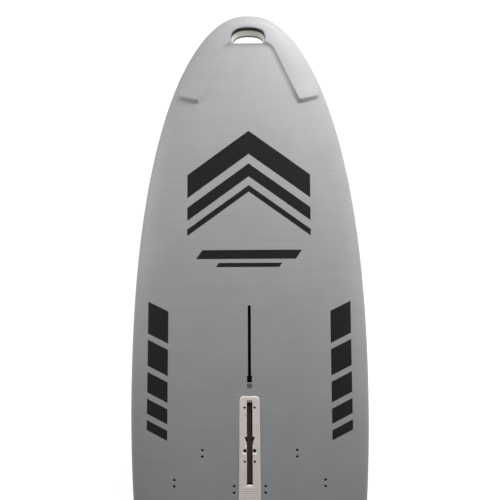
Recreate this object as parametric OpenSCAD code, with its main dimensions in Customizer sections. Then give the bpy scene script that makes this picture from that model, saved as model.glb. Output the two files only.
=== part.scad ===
// Windsurf board with a retractable daggerboard.
// The board lies on its flat bottom. +Z points up through the deck, +Y points to the nose, and
// the origin is on the bottom, at the middle of the length and of the width. All sizes are in mm.
// A distance called a station is measured along the board from the nose tip towards the tail.

/* [Board] */
// Length from the nose tip to the tail
board_length = 2600; // [2200:10:3120]
// Greatest width
board_width = 785; // [650:5:945]
// Station of the greatest width
widest_station = 1260; // [1000:10:1400]
// Thickness of the flat middle
board_thickness = 130; // [108:1:156]
// Thickness just behind the rounded nose
nose_thickness = 55; // [45:1:70]
// Thickness just ahead of the rounded tail
tail_thickness = 75; // [62:1:90]
// Height of the bottom at the nose above the flat
nose_lift = 150; // [100:5:200]
// Length of the scooped part of the bottom
scoop_length = 1150; // [900:10:1250]
// Station from which the board has its full thickness
full_station = 1000; // [800:10:1100]
// Length of the tail over which the thickness tapers
tail_taper = 850; // [700:10:1000]
// Radius of the rounded nose and tail, seen from the side
end_radius = 45; // [35:1:60]
// Thickness of the deck and bottom skins
skin = 4; // [3:0.5:5]

/* [Nose] */
// Station of the front of the hand hole
hand_station = 50; // [48:1:70]
// Fore and aft size of the hand hole
hand_length = 52; // [45:1:66]
// Width of the hand hole
hand_width = 113; // [95:1:130]
// Length over which the front of the hand hole is rounded
hand_round = 31; // [22:1:36]
// Corner radius of the hand hole
hand_corner = 8; // [4:1:12]
// Wall of the hand hole's collar and sleeve
liner_wall = 3; // [2:0.5:4]
// Depth of the collar below the deck
collar_depth = 15; // [12:1:24]
// Height of the nose guard above the deck
guard_height = 5; // [3:0.5:8]
// Distance of the guard's outer edge from the board's edge
guard_inset = 18; // [14:1:36]
// Station of the ends of the guard's two legs
guard_end_station = 292; // [260:1:360]
// Width of the deck panel between the guard's legs, at their ends
panel_width = 324; // [300:2:350]
// Width of the deck panel at its front
panel_front_width = 148; // [130:2:160]
// Radius of the deck panel's front corners
panel_corner = 25; // [8:1:40]
// Slope of the ends of the guard's legs, which run down towards the inside
guard_end_slope = 0.34; // [0:0.02:0.4]
// Corner radius of the guard's outline
guard_corner = 16; // [4:1:20]

/* [Mast track] */
// Place of the slot's front end, ahead of the middle of the board
track_front = 322; // [300:1:340]
// Length of the slot
track_length = 250; // [200:1:300]
// Width of the slot
track_slot = 10; // [8:0.5:12]
// Width of the opening for the track nut, at the slot's rear end
track_entry_width = 16; // [14:0.5:18]
// Length of that opening
track_entry_length = 22; // [18:1:30]
// Width of the channel under the slot
track_channel = 19; // [18:0.5:24]
// Outer width of the track
track_width = 36; // [32:1:44]
// Depth of the track
track_depth = 34; // [28:1:40]
// Distance of the vent behind the slot
vent_offset = 11; // [10.5:0.5:14]
// Diameter of the vent screw's head
vent_head = 15; // [12:0.5:16]

/* [Cassette] */
// Place of the cassette's front edge, ahead of the middle of the board
cassette_front = 30; // [20:1:36]
// Length of the cassette
cassette_length = 420; // [400:1:500]
// Width of the cassette at its front edge
cassette_width = 65; // [64:1:72]
// Width of the cassette at its rear edge
cassette_rear_width = 72; // [66:1:80]
// Corner radius of the cassette
cassette_corner = 14; // [8:1:18]
// Thickness of the cassette's flange
flange = 6; // [5:0.5:8]
// Height of the cassette above the deck
cassette_proud = 2.5; // [1:0.5:4]
// Distance of the slot's front end from the cassette's front edge
slot_start = 15; // [12:1:20]
// Length of the shallow ledge at the slot's front end
ledge_length = 7; // [4:0.5:9]
// Depth of that ledge
ledge_depth = 9; // [5:0.5:14]
// Length of the slot
slot_length = 264.5; // [240:0.5:300]
// Distance of the pivot from the cassette's front edge
pivot_from_front = 174; // [160:1:190]
// Depth of the pivot below the cassette's top
pivot_depth = 28.5; // [24:0.5:32]
// Depth of the cassette's body below its top
body_depth = 44; // [40:1:48]
// Diameter of the two pockets above the pivot pin
pocket = 11; // [9:0.5:12]
// Distance of the first pair of screws from the cassette's front edge
screw_start = 38; // [30:1:44]
// Distance between pairs of screws
screw_pitch = 170; // [150:1:180]
// Distance between the two screws of a pair
screw_spread = 32; // [31:0.5:36]
// Diameter of the cassette screws
screw_d = 4; // [3:0.5:5]

/* [Daggerboard] */
// Thickness of the head and its lever
head_thickness = 16; // [12:0.5:19.5]
// Greatest thickness of the blade
blade_thickness = 15; // [10:0.5:18]
// Length of the blade behind the pivot
blade_reach = 560; // [480:5:640]
// Length of the lever ahead of the pivot
lever_length = 148; // [120:1:152]
// Diameter of the pivot pin
pin_d = 10; // [8:0.5:12]
// Clearance of the head on each side of its slot
slot_clearance = 1; // [0.8:0.1:1.5]
// Wall of the well
well_wall = 4; // [3:0.5:6]
// Thickness of the slot's rubber lips
lip_t = 2; // [1.5:0.5:3]

/* [Straps and fin] */
// Distance between the two holes of a strap plug
hole_pitch = 20; // [18:1:24]
// Diameter of the screw holes in a plug
plug_hole = 5; // [4:0.5:6]
// Depth of the strap plugs
plug_depth = 36; // [30:1:45]
// Distance of the fin slot's rear end from the tail
fin_from_tail = 190; // [180:5:240]
// Length of the fin slot
fin_slot_length = 210; // [180:5:250]
// Width of the fin slot
fin_slot = 10; // [9:0.5:12]
// Depth of the fin box
fin_depth = 34; // [28:1:38]

/* [Fits] */
// Glue gap between bonded pieces
bond = 0.25; // [0.2:0.05:0.4]
// Running clearance of the pivot pin, on the radius
pin_clearance = 0.06; // [0.02:0.02:0.1]

/* [Hidden] */
$fn = 48;
eps = 0.01;

// Shape of the board: exponents of its curves, and shares of its section
nose_fullness = 2.3;
nose_roundness = 2.07;
tail_fullness = 1.93;
tail_roundness = 2.3;
scoop_power = 2.4;
nose_taper_power = 2;
tail_taper_power = 2.2;
deck_power = 3.2;
hand_power = 2.4;
apex_share = 0.45;
flat_share = 0.8;
// A skin near the tips never takes more than this share of the section
least_share = 0.6;
// Stations along the board, and facets of half the deck
station_count = 44;
half_facets = 8;
flat_facets = 2;
tip_gap = 0.02;
stations = [for (i = [0:station_count])
    tip_gap + (board_length - 2 * tip_gap) * (1 - cos(180 * i / station_count)) / 2];
// A cutter this long reaches right through the board
through = 2 * (board_thickness + nose_lift);

// Levels above the bottom, in the flat middle of the board
deck_level = board_thickness;
under_deck = deck_level - skin - bond;
cassette_top = deck_level + cassette_proud;
seat_level = cassette_top - flange - bond;
pivot_z = cassette_top - pivot_depth;
ledge_level = cassette_top - body_depth - bond;
ledge_height = 18;
well_flange = 6;
ceiling_level = seat_level - well_flange;
foot_recess = 0.6;
foot_height = 8;
lip_level = foot_recess + 0.4;
lip_top = lip_level + lip_t;

// Places along the board
cassette_rear = cassette_front - cassette_length;
slot_front = cassette_front - slot_start;
slot_rear = slot_front - slot_length;
pivot_y = cassette_front - pivot_from_front;
screw_ys = [for (i = [0:2]) cassette_front - screw_start - i * screw_pitch];
vent_y = track_front - track_length - vent_offset;

// Daggerboard well
slot_half = head_thickness / 2 + slot_clearance;
well_half = slot_half + 1;
body_half = slot_half + 16;
body_rear = slot_rear - 10;
body_front = slot_front + 5;
well_end_room = 16;
well_rear = pivot_y - blade_reach - well_end_room;
stow_gap = 3;
// Chord of the blade at the head: it fills the stowing room from the lips to the ceiling
leading_v = pivot_z - lip_top - stow_gap;
trailing_v = ceiling_level - stow_gap - 1 - pivot_z;
trailing_taper = 26;
rear_ceiling = pivot_z + 4;
stop_gap = 0.6;
stop_t = 6;
down_front = pivot_y + leading_v + stop_gap + stop_t;
step_level = 58;
foot_half = well_half + 12;
rebate_half = well_half + 8;

// Daggerboard head, in its own frame: u runs from the pivot towards the blade's tip and v towards
// the blade's leading edge, so stowed u points to the tail and v points down
lever_back = 18;
lever_front = 13;
clamp_start = -44;
clamp_end = 22;
clamp_round = 10;
spine_gap = 0.4;
spine_reach = pivot_y - slot_rear - 2.5;
tongue_t = 6;
tongue_gap = 0.2;
tongue_start = -34;
tongue_near = 24;
tongue_far = leading_v - 16;
cap_length = 34;
stub_t = 8;
bolt_d = 5;
bolt_head = 9;
bolt_head_t = 3;
bolt_vs = [tongue_near + 13, tongue_far - 13];
bolt_u = -6;
washer_d = 22;
washer_t = slot_clearance * 0.6;
pin_length = 2 * (body_half - 4);

// Cassette details
notch_from_front = 130;
notch_length = 22;
notch_half = 16.5;
// Over a fifth more than its length, the notch narrows this much past the slot's edge
notch_slant = (notch_half - slot_half) / 5;
pocket_wall = 0.8;
pocket_x = slot_half + pocket / 2 + pocket_wall;
plunger_drop = 7;
screw_head = 6.6;
screw_head_t = 4;
screw_sink = 6;
insert_d = 8;
insert_length = 12;
ridge_start = 292;
ridge_count = 10;
ridge_pitch = 7;
ridge_size = [46, 3, 0.8];

// Mast track, vent and fin box
track_lip = 7;
track_channel_height = 10;
track_end = 12;
track_rear_end = 28;
block_wall = 18;
block_rear_wall = 8;
block_depth = 62;
vent_shank = 6;
vent_bush_d = 11;
vent_bush_length = 24;
vent_head_t = 2.2;
vent_seal_t = 1.8;
vent_slot = [1.6, 11, 1];
fin_front = fin_from_tail + fin_slot_length - board_length / 2;
fin_end = 30;
fin_width = 36;
fin_slot_depth = 26;
fin_lip = 8;
fin_channel = 17;
fin_channel_height = 7;
fin_entry = [16, 24];

// Strap plugs: places of their front holes on the right-hand side
strap_step = [-102, -112];
front_straps = [[152, -142.5], [241.5, -235.5]];
rear_straps = [[150, -700]];
plug_margin = 12;
skin_hole = plug_hole + 1;

// Half the board's width at a station
function half_width(s) = board_width / 2 * (s < widest_station
    ? pow(1 - pow(1 - s / widest_station, nose_fullness), 1 / nose_roundness)
    : pow(1 - pow((s - widest_station) / (board_length - widest_station), tail_fullness),
          1 / tail_roundness));

// Height of the bottom above the flat
function rocker(s) = s < scoop_length ? nose_lift * pow(1 - s / scoop_length, scoop_power) : 0;

function thickness(s) = let (tail_start = board_length - tail_taper)
    s < full_station
    ? board_thickness - (board_thickness - nose_thickness) * pow(1 - s / full_station, nose_taper_power)
    : s > tail_start
    ? board_thickness
      - (board_thickness - tail_thickness) * pow((s - tail_start) / tail_taper, tail_taper_power)
    : board_thickness;

// Share of the thickness that is left inside the rounded nose and tail
function end_round(s) = let (d = min(s, board_length - s))
    d < end_radius ? sqrt(1 - pow(1 - d / end_radius, 2)) : 1;

// Height of the rail, where the section is widest
function apex(s) = rocker(s) + apex_share * thickness(s);

// Half-width and heights of a surface that lies an inset inside the board's own surface
function inside(size, inset) = max(size - inset, least_share * size);
function side(s, inset) = inside(half_width(s), inset);
function rise(s, inset) = inside((1 - apex_share) * thickness(s) * end_round(s), inset);
function fall(s, inset) = inside(apex_share * thickness(s) * end_round(s), inset);
function place(s, inset) = (board_length / 2 - s) * (1 - 2 * inset / board_length);

// Point k of the deck's section, which is a superellipse, from the left rail to the right
function deck_point(s, k, inset) = let (a = 90 * abs(k) / half_facets)
    [sign(k) * side(s, inset) * pow(sin(a), 2 / deck_power), place(s, inset),
     apex(s) + rise(s, inset) * pow(cos(a), 2 / deck_power)];

// Point k of the bottom's section, which is flat with elliptical rails. The glue gap between the
// two skins is at the rail.
function bottom_point(s, k, inset) =
    let (n = abs(k), a = n > flat_facets ? 90 * (n - flat_facets) / (half_facets - flat_facets) : 0,
         u = n > flat_facets ? flat_share + (1 - flat_share) * sin(a) : flat_share * n / flat_facets)
    [sign(k) * side(s, inset) * u, place(s, inset), apex(s) - bond - (fall(s, inset) - bond) * cos(a)];

function deck_curve(s, inset) = [for (k = [-half_facets:half_facets]) deck_point(s, k, inset)];
function bottom_curve(s, inset) = [for (k = [-half_facets:half_facets]) bottom_point(s, k, inset)];

// Height of the deck, or of a surface under it, at a point of the board
function deck_height(x, y, inset) = let (s = board_length / 2 - y)
    apex(s) + rise(s, inset) * pow(1 - pow(min(1, abs(x) / side(s, inset)), deck_power), 1 / deck_power);

// Solid between an upper and a lower curve at each station. Both curves run from left to right.
module loft(upper, lower) {
    n = len(upper[0]);
    m = len(upper) - 1;
    ring = 2 * n;
    points = [for (i = [0:m]) each concat(upper[i], [for (j = [n - 1:-1:0]) lower[i][j]])];
    walls = [for (i = [0:m - 1], j = [0:ring - 1])
        let (a = i * ring + j, b = i * ring + (j + 1) % ring)
        each [[a, b, b + ring], [a, b + ring, a + ring]]];
    start = [for (j = [0:n - 2]) each [[j, ring - 1 - j, ring - 2 - j], [j, ring - 2 - j, j + 1]]];
    end = [for (f = start) [f[2] + m * ring, f[1] + m * ring, f[0] + m * ring]];
    polyhedron(points, concat(walls, start, end), convexity = 6);
}

// Solid between two depths below the deck
module deck_layer(top, bottom, at = stations) {
    loft([for (s = at) deck_curve(s, top)], [for (s = at) deck_curve(s, bottom)]);
}

// Solid between two depths above the bottom
module bottom_layer(top, bottom, at = stations) {
    loft([for (s = at) bottom_curve(s, top)], [for (s = at) bottom_curve(s, bottom)]);
}

// Solid between a depth below the deck and a height above the bottom
module inner_body(top, bottom, at = stations) {
    loft([for (s = at) deck_curve(s, top)], [for (s = at) bottom_curve(s, bottom)]);
}

// Solid between two heights above the deck, measured straight up
module deck_slab(low, high, at) {
    function raised(curve, dz) = [for (p = curve) p + [0, 0, dz]];
    loft([for (s = at) raised(deck_curve(s, 0), high)], [for (s = at) raised(deck_curve(s, 0), low)]);
}

// Block with its corners at two points
module block(low, high) {
    translate(low) cube(high - low);
}

// Block that is centred across the board
module centred(half, rear, front, low, high) {
    block([-half, rear, low], [half, front, high]);
}

// Plan of the cassette's plate: wider behind than in front, with round corners
module cassette_plan(grow) {
    r = cassette_corner + grow;
    front = [cassette_width / 2 - cassette_corner, cassette_front - cassette_corner];
    rear = [cassette_rear_width / 2 - cassette_corner, cassette_rear + cassette_corner];
    slant = atan2(rear[0] - front[0], front[1] - rear[1]);
    normal = r * [cos(slant), sin(slant)];
    half = [front + [0, r], front + normal, rear + normal, rear - [0, r]];
    polygon(concat(half, [for (i = [3:-1:0]) [-half[i][0], half[i][1]]]));
    for (x = [-1, 1], p = [front, rear]) translate([x * p[0], p[1]]) circle(r);
}

// Copies of a piece on both sides of the middle
module both_sides() {
    children();
    mirror([1, 0, 0]) children();
}

module rod_x(d, length) {
    rotate([0, 90, 0]) cylinder(d = d, h = length, center = true);
}

// Outline of the hand hole: flat behind and round in front
module hand_hole_outline(grow) {
    front = board_length / 2 - hand_station;
    back = front - hand_length;
    half = hand_width / 2;
    arc = [for (i = [0:16]) let (a = 180 * i / 16)
        [half * sign(cos(a)) * pow(abs(cos(a)), 2 / hand_power),
         front - hand_round + hand_round * pow(sin(a), 2 / hand_power)]];
    offset(r = hand_corner + grow, $fn = 32)
        offset(delta = -hand_corner)
            polygon(concat([[-half, back], [half, back]], arc));
}

module hand_hole(grow) {
    linear_extrude(through, convexity = 4) hand_hole_outline(grow);
}

// Outline of the nose guard: a horseshoe round the deck panel
module guard_outline() {
    front = board_length / 2;
    leg_end = front - guard_end_station;
    panel_front = front - hand_station - hand_length - hand_corner / 2;
    edge = [for (s = stations) if (s < guard_end_station + 150) [half_width(s), front - s]];
    mirrored = [for (i = [len(edge) - 1:-1:0]) [-edge[i][0], edge[i][1]]];
    spread = (panel_width - panel_front_width) / 2 / (panel_front - leg_end);
    panel_bottom = leg_end - 200;
    bottom_half = panel_width / 2 + spread * 200;
    // The leg's end goes through the middle of the leg and is as long as the board is wide
    leg_middle = (panel_width / 2 + half_width(guard_end_station) - guard_inset) / 2;
    far = board_width;
    offset(r = guard_corner, $fn = 32) offset(delta = -guard_corner) difference() {
        offset(delta = -guard_inset) polygon(concat(edge, mirrored));
        offset(r = panel_corner) offset(delta = -panel_corner) polygon([
            [-panel_front_width / 2, panel_front], [panel_front_width / 2, panel_front],
            [bottom_half, panel_bottom], [-bottom_half, panel_bottom]]);
        polygon([[0, leg_end - guard_end_slope * leg_middle],
                 [far, leg_end + guard_end_slope * (far - leg_middle)], [far, leg_end - far],
                 [-far, leg_end - far], [-far, leg_end + guard_end_slope * (far - leg_middle)]]);
    }
}

nose_stations = [for (s = stations) if (s > 2 && s < guard_end_station + 150) s];

// Ring that lines the hand hole
module hand_hole_ring() {
    linear_extrude(through, convexity = 6) difference() {
        hand_hole_outline(liner_wall);
        hand_hole_outline(0);
    }
}

module nose_guard() {
    color([0.66, 0.67, 0.68]) difference() {
        intersection() {
            deck_layer(-guard_height, -bond, nose_stations);
            linear_extrude(through, convexity = 6) guard_outline();
        }
        hand_hole(liner_wall + bond);
    }
}

module hand_hole_collar() {
    color([0.06, 0.06, 0.06]) intersection() {
        deck_slab(-collar_depth, guard_height - 0.5, nose_stations);
        hand_hole_ring();
    }
}

module hand_hole_sleeve() {
    color([0.72, 0.73, 0.70]) difference() {
        intersection() {
            inner_body(bond, bond, nose_stations);
            hand_hole_ring();
        }
        deck_slab(-collar_depth - bond, guard_height, nose_stations);
    }
}

// Shape of the mast track's opening, seen from above
module track_opening(grow) {
    rear = track_front - track_length;
    r = track_slot / 2 + grow;
    translate([0, track_front - track_slot / 2]) circle(r);
    translate([-r, rear - grow]) square([2 * r, track_length + grow - track_slot / 2]);
    translate([-track_entry_width / 2 - grow, rear - grow])
        square([track_entry_width + 2 * grow, track_entry_length + 2 * grow]);
}

module track_body(grow) {
    rear = track_front - track_length;
    centred(track_width / 2 + grow, rear - track_rear_end - grow, track_front + track_end + grow,
            under_deck - track_depth - grow, under_deck);
}

module mast_track() {
    rear = track_front - track_length;
    channel_top = under_deck - track_lip;
    color([0.05, 0.05, 0.05]) difference() {
        track_body(0);
        translate([0, 0, under_deck - track_depth / 2]) linear_extrude(track_depth) track_opening(0);
        centred(track_channel / 2, rear, track_front, channel_top - track_channel_height, channel_top);
        translate([0, vent_y, under_deck - track_depth - eps])
            cylinder(d = vent_bush_d + 2 * bond, h = track_depth + 1);
    }
}

module track_block_body(grow) {
    rear = track_front - track_length;
    centred(track_width / 2 + block_wall + grow, rear - track_rear_end - block_rear_wall - grow,
            track_front + track_end + block_wall + grow, under_deck - block_depth - grow, under_deck + grow);
}

module track_block() {
    color([0.85, 0.72, 0.35]) difference() {
        intersection() {
            track_block_body(0);
            inner_body(skin + 2 * bond, skin + 2 * bond);
        }
        track_body(bond);
        translate([0, 0, eps]) track_body(bond);
    }
}

module vent_bush() {
    color([0.75, 0.6, 0.3]) translate([0, vent_y, under_deck - vent_bush_length]) difference() {
        cylinder(d = vent_bush_d, h = vent_bush_length);
        translate([0, 0, -eps]) cylinder(d = vent_shank + 0.1, h = vent_bush_length + 1);
    }
}

module vent_seal() {
    color([0.08, 0.08, 0.08]) translate([0, vent_y, under_deck + vent_seal_t / 2])
        rotate_extrude() translate([vent_shank / 2 + 0.2 + vent_seal_t / 2, 0])
            circle(d = vent_seal_t, $fn = 24);
}

module vent_screw() {
    head_level = under_deck + vent_seal_t + 0.05;
    color([0.45, 0.45, 0.46]) translate([0, vent_y, 0]) difference() {
        union() {
            translate([0, 0, head_level]) cylinder(d = vent_head, h = vent_head_t);
            translate([0, 0, under_deck - vent_bush_length + 6])
                cylinder(d = vent_shank, h = head_level - under_deck + vent_bush_length - 5);
        }
        translate([-vent_slot[0] / 2, -vent_slot[1] / 2, head_level + vent_head_t - vent_slot[2]])
            cube(vent_slot * 1.001);
    }
}

// Outside of the daggerboard well
module well_body(grow) {
    g = grow;
    outer_half = well_half + well_wall;
    chamber_half = body_half + bond + well_wall;
    centred(chamber_half + g, body_rear - well_wall - g, body_front + well_wall + g,
            ledge_level - ledge_height - g, seat_level);
    translate([0, 0, ceiling_level - g]) linear_extrude(well_flange + g) cassette_plan(g - 2);
    centred(outer_half + g, well_rear - well_wall - g, down_front + well_wall + g,
            foot_recess, rear_ceiling + well_wall + g);
    centred(outer_half + g, cassette_rear - g, body_front + g,
            step_level - well_wall - g, ceiling_level + eps);
    centred(foot_half + g, well_rear - well_wall - 6 - g, down_front + well_wall + 6 + g,
            foot_recess, foot_recess + foot_height + g);
    for (x = [-1, 1]) translate([x * screw_spread / 2, screw_ys[2], ceiling_level - insert_length - 4 - g])
        cylinder(d = insert_d + 6 + 2 * g, h = insert_length + 4 + g + eps);
}

// Room inside the well
module well_room() {
    centred(body_half + bond, body_rear - bond, body_front + bond, ledge_level, seat_level + 1);
    centred(well_half, well_rear, down_front, -1, rear_ceiling);
    centred(well_half, cassette_rear + well_wall, slot_front + 1, step_level, ceiling_level);
    centred(well_half, body_rear, slot_front + 1, step_level, ledge_level + 1);
    centred(rebate_half, well_rear - 6, down_front + 6, -1, lip_top + 0.3);
}

// Places of the threaded inserts, with the level of their tops
function insert_places() = [for (i = [0:2], x = [-1, 1])
    [x * screw_spread / 2, screw_ys[i], i < 2 ? ledge_level : ceiling_level]];

module daggerboard_well() {
    color([0.80, 0.80, 0.78]) difference() {
        well_body(0);
        well_room();
        for (p = insert_places()) translate(p) {
            translate([0, 0, -insert_length - bond])
                cylinder(d = insert_d + 2 * bond, h = insert_length + bond + eps);
            cylinder(d = screw_d + 1, h = well_flange + 1);
        }
    }
}

module well_inserts() {
    color([0.75, 0.6, 0.3]) for (p = insert_places())
        translate([p[0], p[1], p[2] - insert_length]) difference() {
            cylinder(d = insert_d, h = insert_length - bond);
            translate([0, 0, -eps]) cylinder(d = screw_d + 0.2, h = insert_length + 1);
        }
}

// The slot is open from above, and the blade passes under its rear end
module cassette_slot() {
    centred(slot_half, slot_rear, slot_front, cassette_top - ledge_depth, cassette_top + 1);
    centred(slot_half, slot_rear, slot_front - ledge_length, 0, cassette_top + 1);
    centred(slot_half, body_rear - 1, slot_front - ledge_length, 0, ceiling_level);
}

module cassette() {
    notch_y = cassette_front - notch_from_front;
    groove_half = pin_length / 2 + 0.4;
    groove_d = pin_d + 2 * pin_clearance;
    entry_y = notch_y - notch_length / 2;
    color([0.86, 0.84, 0.82]) difference() {
        union() {
            translate([0, 0, cassette_top - flange]) linear_extrude(flange) cassette_plan(0);
            centred(body_half, body_rear, body_front, cassette_top - body_depth, cassette_top - flange + eps);
            for (i = [0:ridge_count - 1])
                translate([-ridge_size[0] / 2, cassette_front - ridge_start - i * ridge_pitch,
                           cassette_top - eps])
                    cube(ridge_size);
        }
        cassette_slot();
        // Notch and groove by which the pin goes in, and the round seat it ends in
        translate([0, 0, pivot_z]) linear_extrude(through) polygon([
            [-notch_half, notch_y], [notch_half, notch_y],
            [slot_half - notch_slant, notch_y - 1.2 * notch_length],
            [notch_slant - slot_half, notch_y - 1.2 * notch_length]]);
        centred(groove_half, entry_y - groove_d / 2, entry_y + groove_d / 2,
                pivot_z - groove_d / 2, cassette_top - flange);
        centred(groove_half, pivot_y, entry_y, pivot_z - groove_d / 2, pivot_z + groove_d / 2);
        translate([0, pivot_y, pivot_z]) rod_x(groove_d, 2 * groove_half);
        for (x = [-1, 1]) translate([x * pocket_x, pivot_y, pivot_z]) cylinder(d = pocket, h = through);
        for (p = insert_places()) translate([p[0], p[1], 0]) {
            cylinder(d = screw_d + 1, h = through);
            translate([0, 0, cassette_top - screw_sink]) cylinder(d = screw_head + 0.4, h = through);
        }
    }
}

module cassette_screws() {
    shoulder = cassette_top - screw_sink + 0.05;
    color([0.10, 0.10, 0.10]) for (p = insert_places()) translate([p[0], p[1], 0]) {
        foot = p[2] - insert_length + 1;
        difference() {
            union() {
                translate([0, 0, shoulder]) cylinder(d = screw_head, h = screw_head_t);
                translate([0, 0, foot]) cylinder(d = screw_d, h = shoulder - foot + eps);
            }
            translate([0, 0, shoulder + screw_head_t - 2]) cylinder(d = 3.4, h = 3, $fn = 6);
        }
    }
}

// Plungers in the two pockets, which keep the pin in its seat
module pin_plungers() {
    low = pivot_z + pin_d / 2 + 0.3;
    color([0.12, 0.11, 0.10]) for (x = [-1, 1]) translate([x * pocket_x, pivot_y, low]) difference() {
        cylinder(d = pocket - 0.3, h = cassette_top - plunger_drop - low);
        translate([0, 0, cassette_top - plunger_drop - low - 3]) cylinder(d = 5.8, h = 4, $fn = 6);
    }
}

module down_stop() {
    color([0.10, 0.10, 0.10]) centred(well_half - 1.5, down_front - stop_t, down_front - bond, 14, 46);
}

module stow_pad() {
    color([0.10, 0.10, 0.10]) centred(well_half - 1.5, well_rear + 40, well_rear + 90,
                                      stow_pad_level(), rear_ceiling - bond);
}

// Height of the stowed blade's trailing edge at a distance from the pivot
function trailing_at(u) = trailing_v - trailing_taper * min(1, max(0, u) / (blade_reach - tip_length));
function stow_pad_level() = pivot_z + trailing_at(blade_reach - tip_length) + 0.8;

module slot_lip_right() {
    color([0.07, 0.07, 0.07])
        block([0.2, well_rear - 5.7, lip_level], [rebate_half - bond, down_front + 5.7, lip_top]);
}

module slot_lip_left() {
    mirror([1, 0, 0]) slot_lip_right();
}

// Block with two screw holes under the deck skin. The place is that of its front hole.
module strap_plug(place, grow, holes) {
    r = plug_margin + grow;
    far = abs(place[0]) + plug_margin;
    top = min(deck_height(far, place[1] + r, skin), deck_height(far, place[1] - hole_pitch - r, skin)) - 1;
    translate([place[0], place[1], top - plug_depth - grow]) difference() {
        union() {
            for (y = [0, -hole_pitch]) translate([0, y, 0]) cylinder(r = r, h = plug_depth + grow);
            translate([-r, -hole_pitch, 0]) cube([2 * r, hole_pitch, plug_depth + grow]);
        }
        if (holes) for (y = [0, -hole_pitch])
            translate([0, y, 6]) cylinder(d = plug_hole, h = plug_depth);
    }
}

// Both ends of each strap in a list
module strap_plugs(straps, grow, holes) {
    both_sides() for (p = straps, end = [0, 1]) strap_plug(p + end * strap_step, grow, holes);
}

module strap_holes(straps) {
    both_sides() for (p = straps, end = [0, 1], y = [0, -hole_pitch])
        translate([p[0] + end * strap_step[0], p[1] + end * strap_step[1] + y, 0])
            cylinder(d = skin_hole, h = through);
}

module front_strap_plugs() {
    color([0.15, 0.15, 0.15]) strap_plugs(front_straps, 0, true);
}

module rear_strap_plugs() {
    color([0.15, 0.15, 0.15]) strap_plugs(rear_straps, 0, true);
}

module fin_body(grow) {
    centred(fin_width / 2 + grow, fin_front - fin_slot_length - fin_end - grow, fin_front + fin_end + grow,
            foot_recess, foot_recess + fin_depth + grow);
}

module fin_box() {
    rear = fin_front - fin_slot_length;
    middle = (fin_front + rear) / 2;
    channel = foot_recess + fin_lip;
    color([0.05, 0.05, 0.05]) difference() {
        fin_body(0);
        centred(fin_slot / 2, rear + fin_slot / 2, fin_front - fin_slot / 2, -1, fin_slot_depth);
        for (y = [rear, fin_front - fin_slot])
            translate([0, y + fin_slot / 2, -1]) cylinder(d = fin_slot, h = fin_slot_depth + 1);
        centred(fin_channel / 2, rear + 6, fin_front - 6, channel, channel + fin_channel_height);
        centred(fin_entry[0] / 2, middle - fin_entry[1] / 2, middle + fin_entry[1] / 2, -1, channel + 1);
    }
}

module fin_block_body(grow) {
    centred(fin_width / 2 + block_wall + grow, fin_front - fin_slot_length - fin_end - block_wall - grow,
            fin_front + fin_end + block_wall + grow, 0, foot_recess + fin_depth + block_wall + grow);
}

module fin_block() {
    color([0.85, 0.72, 0.35]) difference() {
        intersection() {
            fin_block_body(0);
            inner_body(skin + 2 * bond, skin + 2 * bond);
        }
        fin_body(bond);
        translate([0, 0, -5]) fin_body(bond);
    }
}

module deck_skin() {
    grow = 0.3;
    color([0.60, 0.60, 0.61]) difference() {
        deck_layer(0, skin);
        hand_hole(liner_wall + bond);
        translate([0, 0, under_deck]) linear_extrude(through) track_opening(0);
        translate([0, vent_y, under_deck]) cylinder(d = vent_head + 2 * grow, h = through);
        translate([0, 0, deck_level / 2]) linear_extrude(through) cassette_plan(grow);
        translate([0, 0, deck_level / 2]) strap_holes(concat(front_straps, rear_straps));
    }
}

module bottom_skin() {
    grow = 0.3;
    color([0.90, 0.90, 0.89]) difference() {
        bottom_layer(skin, 0);
        translate([0, 0, -1]) hand_hole(liner_wall + bond);
        centred(foot_half + grow, well_rear - well_wall - 6 - grow, down_front + well_wall + 6 + grow,
                -1, skin + 1);
        centred(fin_width / 2 + grow, fin_front - fin_slot_length - fin_end - grow,
                fin_front + fin_end + grow, -1, skin + 1);
    }
}

module foam_core() {
    color([0.95, 0.95, 0.94]) difference() {
        inner_body(skin + bond, skin + bond);
        hand_hole(liner_wall + bond);
        track_block_body(bond);
        translate([0, 0, block_depth / 2]) track_block_body(bond);
        well_body(bond);
        translate([0, 0, skin]) well_body(bond);
        translate([0, 0, -skin]) well_body(bond);
        strap_plugs(concat(front_straps, rear_straps), bond, false);
        translate([0, 0, plug_depth / 2]) strap_plugs(concat(front_straps, rear_straps), bond, false);
        fin_block_body(bond);
    }
}

// Turns the head's own frame, with u along X and v along Y, into the stowed place on the board
module stowed() {
    translate([0, pivot_y, pivot_z]) rotate([-90, 0, -90]) children();
}

// Blade section: half its thickness at a share of the chord behind the leading edge
tip_length = 70;
function foil(c) = 5 * blade_thickness * (0.2969 * sqrt(c) - 0.126 * c - 0.3516 * c * c
    + 0.2843 * c * c * c - 0.1036 * c * c * c * c);

// Leading and trailing edges, with a tip rounded over its last stretch
function tip_round(u) = u < blade_reach - tip_length ? 1
    : sqrt(max(0, 1 - pow((u - blade_reach + tip_length) / tip_length, 2)));
function leading_at(u) = leading_v - (1 - tip_round(u)) * 0.55 * (leading_v + trailing_at(u));
function blade_trailing_at(u) = trailing_at(u) - (1 - tip_round(u)) * 0.45 * (leading_v + trailing_at(u));

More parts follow.
